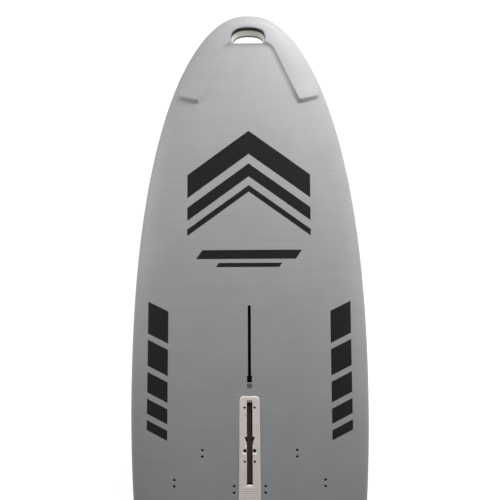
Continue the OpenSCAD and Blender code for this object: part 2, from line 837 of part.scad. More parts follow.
// The stowed blade lies along the board, so its sections are placed straight on the board
module daggerboard_blade() {
    root = clamp_end + tongue_gap;
    us = concat([for (i = [0:6]) root + (blade_reach - tip_length - root) * i / 6],
                [for (i = [1:8])
                    blade_reach - tip_length + tip_length * sin(90 * i / 8) - (i == 8 ? 0.5 : 0)]);
    shares = [for (i = [0:12]) (1 - cos(180 * i / 12)) / 2];
    function edge_point(u, c, s) =
        let (le = leading_at(u), te = -blade_trailing_at(u), shrink = 0.25 + 0.75 * tip_round(u))
        [s * max(0.4, foil(c) * shrink), pivot_y - u, pivot_z - le + c * (le - te)];
    color([0.24, 0.18, 0.14]) difference() {
        union() {
            loft([for (u = us) [for (c = shares) edge_point(u, c, -1)]],
                 [for (u = us) [for (c = shares) edge_point(u, c, 1)]]);
            centred(tongue_t / 2, pivot_y - root - 6, pivot_y - tongue_start,
                    pivot_z - tongue_far, pivot_z - tongue_near);
        }
        for (v = bolt_vs) translate([0, pivot_y - bolt_u, pivot_z - v])
            rod_x(bolt_d + 0.2, 4 * head_thickness);
    }
}

// Side view of the head: lever, pivot boss, the clamp that holds the blade's tongue, and the spine
// that fills the slot over the stowed blade
module head_outline() {
    hull() {
        circle(lever_back, $fn = 32);
        translate([cap_length - lever_length, -lever_back + lever_front]) circle(lever_front, $fn = 32);
    }
    hull() {
        for (u = [clamp_start + clamp_round, clamp_end - clamp_round], v = [0, leading_v - clamp_round - 2])
            translate([u, v]) circle(clamp_round, $fn = 32);
    }
    translate([clamp_end - 12, -trailing_v]) square([12, leading_v - 2 - clamp_round + trailing_v]);
    intersection() {
        translate([0, -lever_back]) square([spine_reach, lever_back - trailing_v - spine_gap]);
        circle(spine_reach, $fn = 180);
    }
}

module lever_stub(grow) {
    translate([cap_length - lever_length - cap_length + 12, -lever_back + lever_front - 6 - grow])
        square([cap_length, 12 + 2 * grow]);
}

module daggerboard_head() {
    color([0.20, 0.15, 0.12]) difference() {
        stowed() union() {
            linear_extrude(head_thickness, center = true) head_outline();
            linear_extrude(stub_t, center = true) lever_stub(0);
        }
        centred(tongue_t / 2 + tongue_gap, pivot_y - clamp_end - 1, pivot_y - tongue_start + tongue_gap,
                pivot_z - tongue_far - tongue_gap, pivot_z - tongue_near + tongue_gap);
        translate([0, pivot_y, pivot_z]) rod_x(pin_d + 0.04, 2 * head_thickness);
        for (v = bolt_vs) translate([0, pivot_y - bolt_u, pivot_z - v]) {
            rod_x(bolt_d + 0.2, 2 * head_thickness);
            both_sides() translate([head_thickness / 2, 0, 0]) rod_x(bolt_head + 0.4, 2 * bolt_head_t + 0.4);
        }
    }
}

module lever_cap() {
    color([0.09, 0.08, 0.08]) stowed() difference() {
        linear_extrude(head_thickness, center = true) difference() {
            hull() for (u = [0.3, cap_length - lever_front])
                translate([cap_length - lever_length - u, -lever_back + lever_front])
                    circle(lever_front, $fn = 32);
            translate([cap_length - lever_length, -lever_back + lever_front])
                circle(lever_front + 0.3, $fn = 32);
        }
        linear_extrude(stub_t + 2 * bond, center = true) lever_stub(bond);
    }
}

module pivot_pin() {
    color([0.55, 0.55, 0.56]) translate([0, pivot_y, pivot_z]) rod_x(pin_d, pin_length);
}

module friction_washers() {
    color([0.30, 0.22, 0.15]) for (x = [-1, 1])
        translate([x * (head_thickness + slot_clearance) / 2, pivot_y, pivot_z]) difference() {
            rod_x(washer_d, washer_t);
            rod_x(pin_d + 0.1, 2 * washer_t);
        }
}

module head_bolts() {
    color([0.55, 0.55, 0.56]) for (v = bolt_vs) translate([0, pivot_y - bolt_u, pivot_z - v]) {
        rod_x(bolt_d, head_thickness - bolt_head_t);
        translate([head_thickness / 2 - bolt_head_t / 2, 0, 0]) difference() {
            rod_x(bolt_head, bolt_head_t);
            translate([bolt_head_t / 2, 0, 0]) rotate([0, 90, 0])
                cylinder(d = 4.6, h = 2, center = true, $fn = 6);
        }
    }
}

module head_nuts() {
    color([0.55, 0.55, 0.56]) for (v = bolt_vs)
        translate([-head_thickness / 2 + bolt_head_t / 2, pivot_y - bolt_u, pivot_z - v]) difference() {
            rotate([0, 90, 0]) cylinder(d = bolt_head, h = bolt_head_t - 0.4, center = true, $fn = 6);
            rod_x(bolt_d + 0.1, 2 * bolt_head_t);
        }
}

foam_core();
deck_skin();
bottom_skin();
nose_guard();
hand_hole_collar();
hand_hole_sleeve();
track_block();
mast_track();
vent_bush();
vent_seal();
vent_screw();
daggerboard_well();
well_inserts();
cassette();
cassette_screws();
pin_plungers();
down_stop();
stow_pad();
slot_lip_left();
slot_lip_right();
front_strap_plugs();
rear_strap_plugs();
fin_block();
fin_box();
daggerboard_blade();
daggerboard_head();
lever_cap();
pivot_pin();
friction_washers();
head_bolts();
head_nuts();
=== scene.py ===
"""Windsurf board with a retractable daggerboard: the looks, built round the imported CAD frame.

All sizes are in metres, in the frame of the CAD model: +Y towards the nose, +Z up through the
deck, origin on the flat bottom at the middle of the board. A distance called a station is
measured from the nose tip towards the tail.
"""

import logging
import math
from dataclasses import dataclass, field, fields
from enum import Enum
from functools import cached_property
from itertools import product
from typing import Any, Callable, Optional, Sequence

import bmesh
import bpy
import numpy as np
from bmesh.types import BMEdge
from bpy.types import Material, Mesh, Node, NodeSocket, NodeTree, Object
from mathutils import Matrix, Vector
from mathutils.geometry import delaunay_2d_cdt


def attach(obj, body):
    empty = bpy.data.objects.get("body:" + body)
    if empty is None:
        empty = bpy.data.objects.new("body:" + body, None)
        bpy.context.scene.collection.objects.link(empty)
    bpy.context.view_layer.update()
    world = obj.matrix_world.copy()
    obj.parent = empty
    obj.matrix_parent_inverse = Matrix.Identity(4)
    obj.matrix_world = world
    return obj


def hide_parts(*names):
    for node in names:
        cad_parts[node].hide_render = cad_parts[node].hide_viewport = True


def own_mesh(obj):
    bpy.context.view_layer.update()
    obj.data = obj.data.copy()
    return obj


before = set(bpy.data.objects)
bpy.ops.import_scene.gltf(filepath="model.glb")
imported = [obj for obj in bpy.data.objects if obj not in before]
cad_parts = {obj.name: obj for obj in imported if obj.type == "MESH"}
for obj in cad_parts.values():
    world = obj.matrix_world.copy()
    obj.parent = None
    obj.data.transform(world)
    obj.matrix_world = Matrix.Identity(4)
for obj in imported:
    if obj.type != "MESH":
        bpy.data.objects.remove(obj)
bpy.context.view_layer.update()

LOG = logging.getLogger("board")
MERGE_GAP = 2e-6  # points of a CAD mesh that are closer are one
SLIVER_GAP = 1e-6  # shorter edges are dissolved
PLAN_GAP = 1e-9  # points of a plan that are closer are one
FLAT_AREA = 1e-12  # a smaller triangle has no side
FLAT_CORNER = 0.01  # a straighter corner, in radians, isn't rounded
BATCH = 200  # points compared at a time

Value = Any
Array = np.ndarray
EdgeRing = tuple[Array, Array]
Pair = tuple[float, float]
Pairs = tuple[Pair, ...]
Sizes = tuple[float, ...]
Point = tuple[float, float, float]
Colour = Point


class Body(Enum):
    """Bodies of the CAD model that the pieces ride on."""

    BOARD = "board"
    DAGGERBOARD = "daggerboard"
    VENT_PLUG = "vent_plug"


class HullFace(Enum):
    """The two skins of the hull."""

    DECK = 1
    BOTTOM = -1


class LoopKind(Enum):
    """What a closed line on a skin stands for."""

    HOLE = "hole"
    PRINT = "print"


# Arithmetic that works on plain numbers, arrays and numbers in a node tree alike


def operator(operation: str, swapped: bool = False) -> Callable[["Field", Value], "Field"]:
    """Makes an arithmetic operator of a field.

    Args:
        operation: name of the Math node's operation.
        swapped: whether the field is on the right.

    Returns:
        The operator's method.
    """
    def apply(self: "Field", other: Value) -> "Field":
        """Adds the operator's Math node."""
        return self.maths(operation, *((other, self) if swapped else (self, other)))
    return apply


class Field:
    """A number in a node tree, used like a plain number."""

    def __init__(self, tree: NodeTree, socket: NodeSocket) -> None:
        """Keeps the tree and the socket that carries the number."""
        self.tree = tree
        self.socket = socket

    def maths(self, operation: str, *values: Value) -> "Field":
        """Adds one Math node.

        Args:
            operation: name of the Math node's operation.
            values: its inputs, fields or plain numbers.

        Returns:
            The node's result.
        """
        node = self.tree.nodes.new("ShaderNodeMath")
        node.operation = operation
        for socket, value in zip(node.inputs, values):
            feed(self.tree, socket, value)
        return Field(self.tree, node.outputs[0])

    __add__, __radd__ = operator("ADD"), operator("ADD", True)
    __sub__, __rsub__ = operator("SUBTRACT"), operator("SUBTRACT", True)
    __mul__, __rmul__ = operator("MULTIPLY"), operator("MULTIPLY", True)
    __truediv__, __pow__ = operator("DIVIDE"), operator("POWER")


def feed(tree: NodeTree, socket: NodeSocket, value: Value) -> None:
    """Links an input of a node, or sets it.

    Args:
        tree: the node's tree.
        socket: the input.
        value: a field or socket to link, or a plain value; a colour of three numbers is opaque.
    """
    value = value.socket if isinstance(value, Field) else value
    if isinstance(value, NodeSocket):
        tree.links.new(value, socket)
    elif socket.type == "RGBA":
        socket.default_value = (*value, 1.0)
    else:
        socket.default_value = value


class TreeBuilder:
    """Adds nodes to one tree."""

    def __init__(self, tree: NodeTree) -> None:
        """Keeps the tree."""
        self.tree = tree

    def connect(self, node: Node, **links: Value) -> Node:
        """Fills a node's inputs.

        Args:
            node: the node.
            links: fields, sockets or values, by the input's name with _ for a space.

        Returns:
            The node.
        """
        for name, value in links.items():
            feed(self.tree, node.inputs[name.replace("_", " ")], value)
        return node

    def node(self, kind: str, settings: Optional[dict[str, Any]] = None, **links: Value) -> Node:
        """Adds a node.

        Args:
            kind: the node's type.
            settings: properties of the node itself.
            links: its inputs, as for connect().

        Returns:
            The node.
        """
        node = self.tree.nodes.new(kind)
        for name, value in (settings or {}).items():
            setattr(node, name, value)
        return self.connect(node, **links)

    def field(self, output: Any, kind: str, settings: Optional[dict[str, Any]] = None,
              **links: Value) -> Field:
        """Adds a node and returns one output of it, by name or number, as a field."""
        return Field(self.tree, self.node(kind, settings, **links).outputs[output])

    def span(self, value: Value, low: float, high: float, to_low: float, to_high: float) -> Field:
        """Maps a range of a value to another range, and stops at its ends."""
        return self.field(0, "ShaderNodeMapRange", Value=value, From_Min=low, From_Max=high,
                          To_Min=to_low, To_Max=to_high)


def either(operation: str, plain: Callable) -> Callable[..., Value]:
    """Makes a function that works on fields, and on plain numbers and arrays.

    Args:
        operation: name of the Math node's operation.
        plain: the same operation for numbers and arrays.

    Returns:
        The function.
    """
    def apply(*values: Value) -> Value:
        """Does the operation, as a node if any value is a field."""
        found = next((v for v in values if isinstance(v, Field)), None)
        return plain(*values) if found is None else found.maths(operation, *values)
    return apply


larger, smaller = either("MAXIMUM", np.maximum), either("MINIMUM", np.minimum)
magnitude, sign_of = either("ABSOLUTE", np.abs), either("SIGN", np.sign)
sine, cosine = either("SINE", np.sin), either("COSINE", np.cos)


@dataclass
class HullLines:
    """The rule that the board's shape follows. Its sizes are numbers or fields."""

    length: Value = 2.6
    width: Value = 0.785
    widest_station: Value = 1.26
    thickness: Value = 0.13
    nose_thickness: Value = 0.055
    tail_thickness: Value = 0.075
    nose_lift: Value = 0.15
    scoop_length: Value = 1.15
    full_station: Value = 1.0
    tail_taper: Value = 0.85
    end_radius: Value = 0.045

    APEX_SHARE = 0.45
    DECK_POWER = 3.2
    FLAT_SHARE = 0.8
    FLAT_SPAN = 0.5
    LEAST_SHARE = 0.6
    NOSE_POWERS = (2.3, 2.07)
    TAIL_POWERS = (1.93, 2.3)
    NOSE_THINNING = 2
    TAIL_THINNING = 2.2
    SCOOP_POWER = 2.4

    def half_width(self, s: Value) -> Value:
        """Half the board's width at a station.

        Args:
            s: the station.

        Returns:
            Half the width.
        """
        ahead = larger(1.0 - s / self.widest_station, 0.0)
        behind = larger((s - self.widest_station) / (self.length - self.widest_station), 0.0)
        nose = larger(1.0 - ahead ** self.NOSE_POWERS[0], 0.0) ** (1 / self.NOSE_POWERS[1])
        tail = larger(1.0 - behind ** self.TAIL_POWERS[0], 0.0) ** (1 / self.TAIL_POWERS[1])
        return self.width / 2 * nose * tail

    def thickness_at(self, s: Value) -> Value:
        """Thickness at a station, before its ends are rounded.

        Args:
            s: the station.

        Returns:
            The thickness.
        """
        nose = larger(1.0 - s / self.full_station, 0.0)
        tail = larger((s - self.length + self.tail_taper) / self.tail_taper, 0.0)
        return (self.thickness - (self.thickness - self.nose_thickness) * nose ** self.NOSE_THINNING
                - (self.thickness - self.tail_thickness) * tail ** self.TAIL_THINNING)

    def end_round(self, s: Value) -> Value:
        """Share of the section's height that the rounded nose and tail leave."""
        gap = larger(1.0 - smaller(s, self.length - s) / self.end_radius, 0.0)
        return larger(1.0 - gap ** 2, 0.0) ** 0.5

    def apex(self, s: Value) -> Value:
        """Height of the widest line of the rail."""
        rocker = self.nose_lift * larger(1.0 - s / self.scoop_length, 0.0) ** self.SCOOP_POWER
        return rocker + self.APEX_SHARE * self.thickness_at(s)

    def inside(self, size: Value, inset: Value) -> Value:
        """A size of the section, less an inset that never takes most of it."""
        return larger(size - inset, self.LEAST_SHARE * size)

    def side(self, s: Value, inset: Value) -> Value:
        """Half the width of a layer."""
        return self.inside(self.half_width(s), inset)

    def rise(self, s: Value, inset: Value, face: HullFace) -> Value:
        """Height of a layer above the rail, or depth below it."""
        share = 1 - self.APEX_SHARE if face is HullFace.DECK else self.APEX_SHARE
        return self.inside(share * self.thickness_at(s) * self.end_round(s), inset)

    def point(self, t: Value, y: Value, inset: Value, face: HullFace) -> tuple[Value, Value, Value]:
        """Place of a point of a skin.

        Args:
            t: place across the board, -1 to 1 from rail to rail.
            y: place along the board.
            inset: depth of the layer under the outer face.
            face: which skin.

        Returns:
            The point's x, y and z.
        """
        s = self.length / 2 - y
        across = smaller(magnitude(t), 1.0)
        rise = self.rise(s, inset, face)
        if face is HullFace.DECK:
            share = 1.0 - (1.0 - across) ** self.DECK_POWER
            crown = larger(1.0 - share ** self.DECK_POWER, 0.0) ** (1 / self.DECK_POWER)
            z = self.apex(s) + rise * crown
        else:
            angle = larger((across - self.FLAT_SPAN) / (1 - self.FLAT_SPAN), 0.0) * (math.pi / 2)
            flat = smaller(across / self.FLAT_SPAN, 1.0)
            share = self.FLAT_SHARE * flat + (1 - self.FLAT_SHARE) * sine(angle)
            z = self.apex(s) - rise * cosine(angle)
        return sign_of(t) * share * self.side(s, inset), y, z

    def across(self, x: Array, y: Array, inset: Value, face: HullFace) -> Array:
        """Place across the board of points in plan: the inverse of point().

        Args:
            x: places to the right of the middle.
            y: places along the board.
            inset: depth of the layer.
            face: which skin.

        Returns:
            Places from -1 to 1.
        """
        side = self.side(self.length / 2 - y, inset)
        share = np.clip(np.abs(x) / side, 0.0, 1.0)
        if face is HullFace.DECK:
            t = 1.0 - (1.0 - share) ** (1 / self.DECK_POWER)
        else:
            angle = np.arcsin(np.clip((share - self.FLAT_SHARE) / (1 - self.FLAT_SHARE), 0.0, 1.0))
            rail = self.FLAT_SPAN + (1 - self.FLAT_SPAN) * angle / (math.pi / 2)
            t = np.where(share < self.FLAT_SHARE, self.FLAT_SPAN * share / self.FLAT_SHARE, rail)
        return np.sign(x) * t

    def height(self, x: Value, y: Value, face: HullFace = HullFace.DECK) -> Array:
        """Height of a skin's outer face at points in plan."""
        x, y = np.asarray(x, float), np.asarray(y, float)
        return np.asarray(self.point(self.across(x, y, 0.0, face), y, 0.0, face)[2])

    def layer(self, plan: Array, depth: Value, face: HullFace) -> Array:
        """Points of the flat sheet that the rule puts at a depth under places in plan."""
        depth = np.broadcast_to(depth, len(plan))
        return np.column_stack([self.across(plan[:, 0], plan[:, 1], depth, face), plan[:, 1], depth])


LINES = HullLines()


# Plan shapes


def fillet(corners: Sequence[Point], steps: int = 8) -> Array:
    """Rounds the corners of a polygon.

    Args:
        corners: x, y and radius of each corner, counter-clockwise.
        steps: facets of a rounded corner.

    Returns:
        The outline's points.
    """
    out: list[Array] = []
    count = len(corners)
    for i, (x, y, radius) in enumerate(corners):
        p = np.array([x, y])
        before = np.array(corners[i - 1][:2]) - p
        after = np.array(corners[(i + 1) % count][:2]) - p
        before, after = before / np.linalg.norm(before), after / np.linalg.norm(after)
        half = math.acos(float(np.clip(before @ after, -1, 1))) / 2
        if radius <= 0 or half > math.pi / 2 - FLAT_CORNER:
            out.append(p)
            continue
        bisector = (before + after) / np.linalg.norm(before + after)
        centre = p + bisector * radius / math.sin(half)
        start = p + before * radius / math.tan(half) - centre
        stop = p + after * radius / math.tan(half) - centre
        first, last = math.atan2(start[1], start[0]), math.atan2(stop[1], stop[0])
        turn = (last - first + math.pi) % (2 * math.pi) - math.pi
        for k in range(steps + 1):
            a = first + turn * k / steps
            out.append(centre + radius * np.array([math.cos(a), math.sin(a)]))
    return np.array(out)


def resample(points: Array, step: float, keep_corners: bool = True) -> Array:
    """Puts points on a closed line so that none are further apart than a step.

    Args:
        points: the line's corners.
        step: greatest distance.
        keep_corners: whether the corners stay, or points are spaced evenly.

    Returns:
        The new points.
    """
    closed = np.vstack([points, points[:1]])
    spans = np.linalg.norm(np.diff(closed, axis=0), axis=1)
    if keep_corners:
        parts = [closed[i] + (closed[i + 1] - closed[i]) * np.arange(n)[:, None] / n
                 for i, n in enumerate(np.maximum(1, np.ceil(spans / step)).astype(int))]
        return np.vstack(parts)
    along = np.concatenate([[0.0], np.cumsum(spans)])
    places = np.linspace(0.0, along[-1], max(8, int(along[-1] / step)), endpoint=False)
    return np.stack([np.interp(places, along, closed[:, k]) for k in (0, 1)], axis=1)


def outward(points: Array) -> Array:
    """Outward normals of a counter-clockwise outline, longer at sharp corners.

    Args:
        points: the outline.

    Returns:
        A normal for each point.
    """
    after = np.roll(points, -1, axis=0) - points
    after /= np.linalg.norm(after, axis=1, keepdims=True)
    before = np.roll(after, 1, axis=0)
    n1 = np.stack([before[:, 1], -before[:, 0]], axis=1)
    n2 = np.stack([after[:, 1], -after[:, 0]], axis=1)
    total = n1 + n2
    return total / np.maximum(1 + (n1 * n2).sum(axis=1, keepdims=True), 0.5)


def circle(x: float, y: float, radius: float, steps: int = 20) -> Array:
    """Points of a circle, counter-clockwise."""
    a = np.arange(steps) * 2 * math.pi / steps
    return np.stack([x + radius * np.cos(a), y + radius * np.sin(a)], axis=1)


def tapered(halves: Pair, ends: Pair, radius: float, steps: int = 8) -> Array:
    """Outline of a four-sided shape on the middle line, with round corners.

    Args:
        halves: half its width at the rear and in front.
        ends: places of its rear and its front.
        radius: radius of its corners.
        steps: facets of a corner.

    Returns:
        The outline's points.
    """
    right = [(half, end, radius) for half, end in zip(halves, ends)]
    return fillet(right + [(-x, y, r) for x, y, r in right[::-1]], steps)


def within(points: Array, outline: Array) -> Array:
    """Says which points lie inside an outline.

    Args:
        points: the points.
        outline: the outline.

    Returns:
        True for each point inside.
    """
    inside = np.zeros(len(points), bool)
    x, y = points[:, 0], points[:, 1]
    for a, b in zip(outline, np.roll(outline, -1, axis=0)):
        if a[1] != b[1]:
            crosses = (a[1] > y) != (b[1] > y)
            inside ^= crosses & (x < (b[0] - a[0]) * (y - a[1]) / (b[1] - a[1]) + a[0])
    return inside


def nearest(points: Array, others: Array) -> Array:
    """Distance of each point to the nearest of other points.

    Args:
        points: the points.
        others: the other points.

    Returns:
        The distances.
    """
    found = np.full(len(points), np.inf)
    for start in range(0, len(others), BATCH):
        gaps = np.linalg.norm(points[:, None] - others[None, start:start + BATCH], axis=2)
        found = np.minimum(found, gaps.min(axis=1))
    return found


def clear_of(points: Array, others: Array, gap: float) -> Array:
    """Says which points keep a distance from other points."""
    return nearest(points, others) > gap


def raised(plan: Array, z: Value) -> Array:
    """Puts points in plan at a height, one for all or one for each."""
    return np.column_stack([plan, np.broadcast_to(z, len(plan))])


def soft_step(t: Array) -> Array:
    """Rises softly from 0 to 1."""
    t = np.clip(t, 0.0, 1.0)
    return t * t * (3.0 - 2.0 * t)


@dataclass
class Loop:
    """A closed line on a skin, counter-clockwise in plan."""

    points: Array
    kind: LoopKind = LoopKind.HOLE
    chamfer: float = 0.0

    def edge(self) -> Array:
        """The line on the outer face: a hole's line is wider there by its chamfer."""
        if self.kind is LoopKind.PRINT or self.chamfer == 0:
            return self.points
        return self.points + self.chamfer * outward(self.points)


class ShellBuilder:
    """Collects the points and faces of one closed shell."""

    def __init__(self) -> None:
        """Starts empty."""
        self.points: list[Array] = []
        self.count = 0
        self.faces: list[tuple[int, ...]] = []
        self.inked: list[bool] = []

    def add(self, points: Array) -> Array:
        """Adds points and returns their numbers."""
        self.points.append(np.asarray(points, float))
        first, self.count = self.count, self.count + len(points)
        return np.arange(first, self.count)

    def triangles(self, faces: Array, flip: bool, ink: Optional[Array] = None) -> None:
        """Adds triangles, turned over if asked, some of them printed black."""
        for i, (a, b, c) in enumerate(faces):
            self.faces.append((int(c), int(b), int(a)) if flip else (int(a), int(b), int(c)))
            self.inked.append(bool(ink[i]) if ink is not None else False)

    def wall(self, upper: Array, lower: Array, hole: bool, ink: bool = False) -> None:
        """Joins two rings of points: the wall of a hole, or of the sheet's outside.

        Args:
            upper: numbers of the upper ring.
            lower: numbers of the lower ring.
            hole: whether it is a hole's wall.
            ink: whether it is black.
        """
        for i in range(len(upper)):
            k = (i + 1) % len(upper)
            quad = (upper[i], upper[k], lower[k], lower[i])
            self.faces.append(tuple(int(v) for v in (quad if hole else quad[::-1])))
            self.inked.append(ink)

    def cap(self, ring: Array) -> None:
        """Closes a ring of points with one face."""
        self.faces.append(tuple(int(v) for v in ring))
        self.inked.append(False)

    def mesh(self, name: str, flip: bool = False) -> Mesh:
        """Makes the mesh, with the printed faces in an attribute called ink.

        Args:
            name: its name.
            flip: whether to turn its faces over.

        Returns:
            The mesh.
        """
        mesh = bpy.data.meshes.new(name)
        faces = [f[::-1] for f in self.faces] if flip else self.faces
        mesh.from_pydata(np.vstack(self.points).tolist(), [], faces)
        ink = mesh.attributes.new("ink", "BOOLEAN", "FACE")
        ink.data.foreach_set("value", self.inked)
        return mesh


def triangulate(points: Array,
                edges: list[tuple[int, int]]) -> tuple[Array, Array, dict[int, int]]:
    """Triangulates points in a plane so that the given edges are kept.

    Args:
        points: the points.
        edges: pairs of their numbers.

    Returns:
        The points, the triangles, and the new number of each given point.
    """
    verts, _, faces, origin, _, _ = delaunay_2d_cdt(
        [Vector(p) for p in points], edges, [], 0, PLAN_GAP, True)
    renumber = {old: new for new, olds in enumerate(origin) for old in olds}
    flat = np.array([tuple(v) for v in verts])
    tris = np.array([f for f in faces if len(f) == 3])
    a, b, c = (flat[tris[:, k]] for k in range(3))
    area = (b[:, 0] - a[:, 0]) * (c[:, 1] - a[:, 1]) - (b[:, 1] - a[:, 1]) * (c[:, 0] - a[:, 0])
    turned = area < -FLAT_AREA
    tris[turned] = tris[turned][:, ::-1]
    return flat, tris, renumber


def inside_of(plan: Array, tris: Array, rings: list[Array]) -> Array:
    """Says which triangles lie inside the first ring of point numbers and outside the others.

    A triangle on a ring's edge goes by its side of that edge, since a flat one has no clear middle.

    Args:
        plan: the points.
        tris: the triangles.
        rings: the outline, then its holes.

    Returns:
        True for each triangle that stays.
    """
    centres = plan[tris].mean(axis=1)
    after = np.roll(tris, -1, axis=1)
    ahead, back = tris * len(plan) + after, after * len(plan) + tris
    keep = np.ones(len(tris), bool)
    for ring in rings:
        edge = ring * len(plan) + np.roll(ring, -1)
        hit = within(centres, plan[ring]) | np.isin(ahead, edge).any(axis=1)
        hit &= ~np.isin(back, edge).any(axis=1)
        keep &= hit if ring is rings[0] else ~hit
    return keep


def ring_edges(first: int, count: int) -> list[tuple[int, int]]:
    """Edges of a closed ring of numbered points."""
    return [(first + i, first + (i + 1) % count) for i in range(count)]


def fill(loops: Sequence[Array],
         free: Sequence[Array] = ()) -> tuple[Array, Array, list[Array]]:
    """Fills an outline with triangles, round its holes.

    Args:
        loops: the outline, then its holes.
        free: groups of points between them.

    Returns:
        The points, the triangles, and the numbers of each loop's points.
    """
    starts = np.cumsum([0] + [len(loop) for loop in loops])
    spans = [(int(start), len(loop)) for start, loop in zip(starts, loops)]
    edges = [edge for start, count in spans for edge in ring_edges(start, count)]
    points, tris, renumber = triangulate(np.vstack([*loops, *free]), edges)
    rings = [np.array([renumber[start + i] for i in range(count)]) for start, count in spans]
    return points, tris[inside_of(points, tris, rings)], rings


def only_used(points: Array, tris: Array) -> tuple[Array, Array, Array]:
    """Leaves out points that no triangle has.

    Args:
        points: the points.
        tris: the triangles.

    Returns:
        Points and triangles that stay, and the new number of each old point.
    """
    used = np.unique(tris)
    number = -np.ones(len(points), int)
    number[used] = np.arange(len(used))
    return points[used], number[tris], number


@dataclass
class HullSkin:
    """One skin of the hull, as a flat sheet of places across and along that the rule then shapes."""

    face: HullFace
    thickness: float = 0.004
    rows: int = 170
    columns: int = 96
    tip_gap: float = 2e-5
    point_gap: float = 0.0026
    loops: list[Loop] = field(default_factory=list)

    STRETCH = 1.25
    LINE_STEP = 0.003
    RAIL_SHARE = 0.8

    def grid(self) -> tuple[Array, list[int]]:
        """Points of the sheet, closer together at nose and tail, and the numbers of its rim.

        Returns:
            Places across and along, and the rim's numbers in order.
        """
        turn = np.linspace(0.0, math.pi, self.rows + 1)
        stations = self.tip_gap + (LINES.length - 2 * self.tip_gap) * (1 - np.cos(turn)) / 2
        ys = LINES.length / 2 - stations[::-1]
        ts = np.linspace(-1.0, 1.0, self.columns + 1)
        grid = np.stack(np.meshgrid(ts, ys), axis=-1).reshape(-1, 2)
        ids = np.arange(len(grid)).reshape(self.rows + 1, -1)
        rim = np.concatenate([ids[0], ids[1:, -1], ids[-1, -2::-1], ids[-2:0:-1, 0]])
        return grid, rim.tolist()

    def flat_sheet(self, name: str) -> Mesh:
        """Lays out the sheet with its holes and printed areas.

        Args:
            name: name of the mesh.

        Returns:
            A closed mesh whose points are place across, place along and depth.
        """
        grid, rim = self.grid()
        plan = np.stack(LINES.point(grid[:, 0], grid[:, 1], 0.0, self.face)[:2], axis=1)
        lines = np.vstack([resample(loop.edge(), self.LINE_STEP) for loop in self.loops])
        keep = clear_of(plan, lines, self.point_gap)
        for loop in self.loops:
            if loop.kind is LoopKind.HOLE:
                keep &= ~within(plan, loop.edge())
        keep[rim] = True
        number = np.cumsum(keep) - 1
        flat = [grid[keep]]
        edges = [(int(number[a]), int(number[b])) for a, b in zip(rim, rim[1:] + rim[:1])]
        first = int(keep.sum())
        spans: list[tuple[int, int]] = []
        for loop in self.loops:
            edge = loop.edge()
            flat.append(LINES.layer(edge, 0.0, self.face)[:, :2])
            edges += ring_edges(first, len(edge))
            spans.append((first, len(edge)))
            first += len(edge)
        stretch = np.array([self.STRETCH, 1.0])
        points, tris, renumber = triangulate(np.vstack(flat) * stretch, edges)
        centres = points[tris].mean(axis=1)
        ink = np.zeros(len(tris), bool)
        for loop, (start, count) in zip(self.loops, spans):
            outline = points[[renumber[start + i] for i in range(count)]]
            hit = within(centres, outline)
            if loop.kind is LoopKind.PRINT:
                ink |= hit
            else:
                tris, centres, ink = tris[~hit], centres[~hit], ink[~hit]
        return self.shell(name, points / stretch, tris, ink,
                          [int(renumber[int(number[r])]) for r in rim],
                          [[renumber[s + i] for i in range(n)] for s, n in spans])

    def shell(self, name: str, points: Array, tris: Array, ink: Array,
              rim: list[int], rings: list[list[int]]) -> Mesh:
        """Doubles the sheet into a closed shell with an inner face and the walls of its holes.

        Args:
            name: its name.
            points: places across and along.
            tris: the triangles.
            ink: which of them are printed.
            rim: numbers of the rim's points.
            rings: numbers of each loop's points.

        Returns:
            The closed mesh.
        """
        points, tris, number = only_used(points, tris)
        shell = ShellBuilder()
        top = shell.add(raised(points, 0.0))
        x, y, _ = LINES.point(points[:, 0], points[:, 1], 0.0, self.face)
        inner = LINES.layer(np.column_stack([x, y]), self.thickness, self.face)
        rail = np.abs(x) >= self.RAIL_SHARE * LINES.side(LINES.length / 2 - y, 0.0)
        inner[rail, 0] = points[rail, 0]
        holes = [(loop, number[ring]) for loop, ring in zip(self.loops, rings)
                 if loop.kind is LoopKind.HOLE]
        for loop, ring in holes:
            inner[ring] = LINES.layer(loop.points, self.thickness, self.face)
        low = shell.add(inner)
        shell.triangles(top[tris], False, ink)
        shell.triangles(low[tris], True)
        shell.wall(top[number[rim]], low[number[rim]], False)
        for loop, ring in holes:
            upper = top[ring]
            if loop.chamfer > 0:
                middle = shell.add(LINES.layer(loop.points, loop.chamfer, self.face))
                shell.wall(upper, middle, True)
                upper = middle
            shell.wall(upper, low[ring], True, True)
        return shell.mesh(name, self.face is HullFace.BOTTOM)


# Geometry Nodes


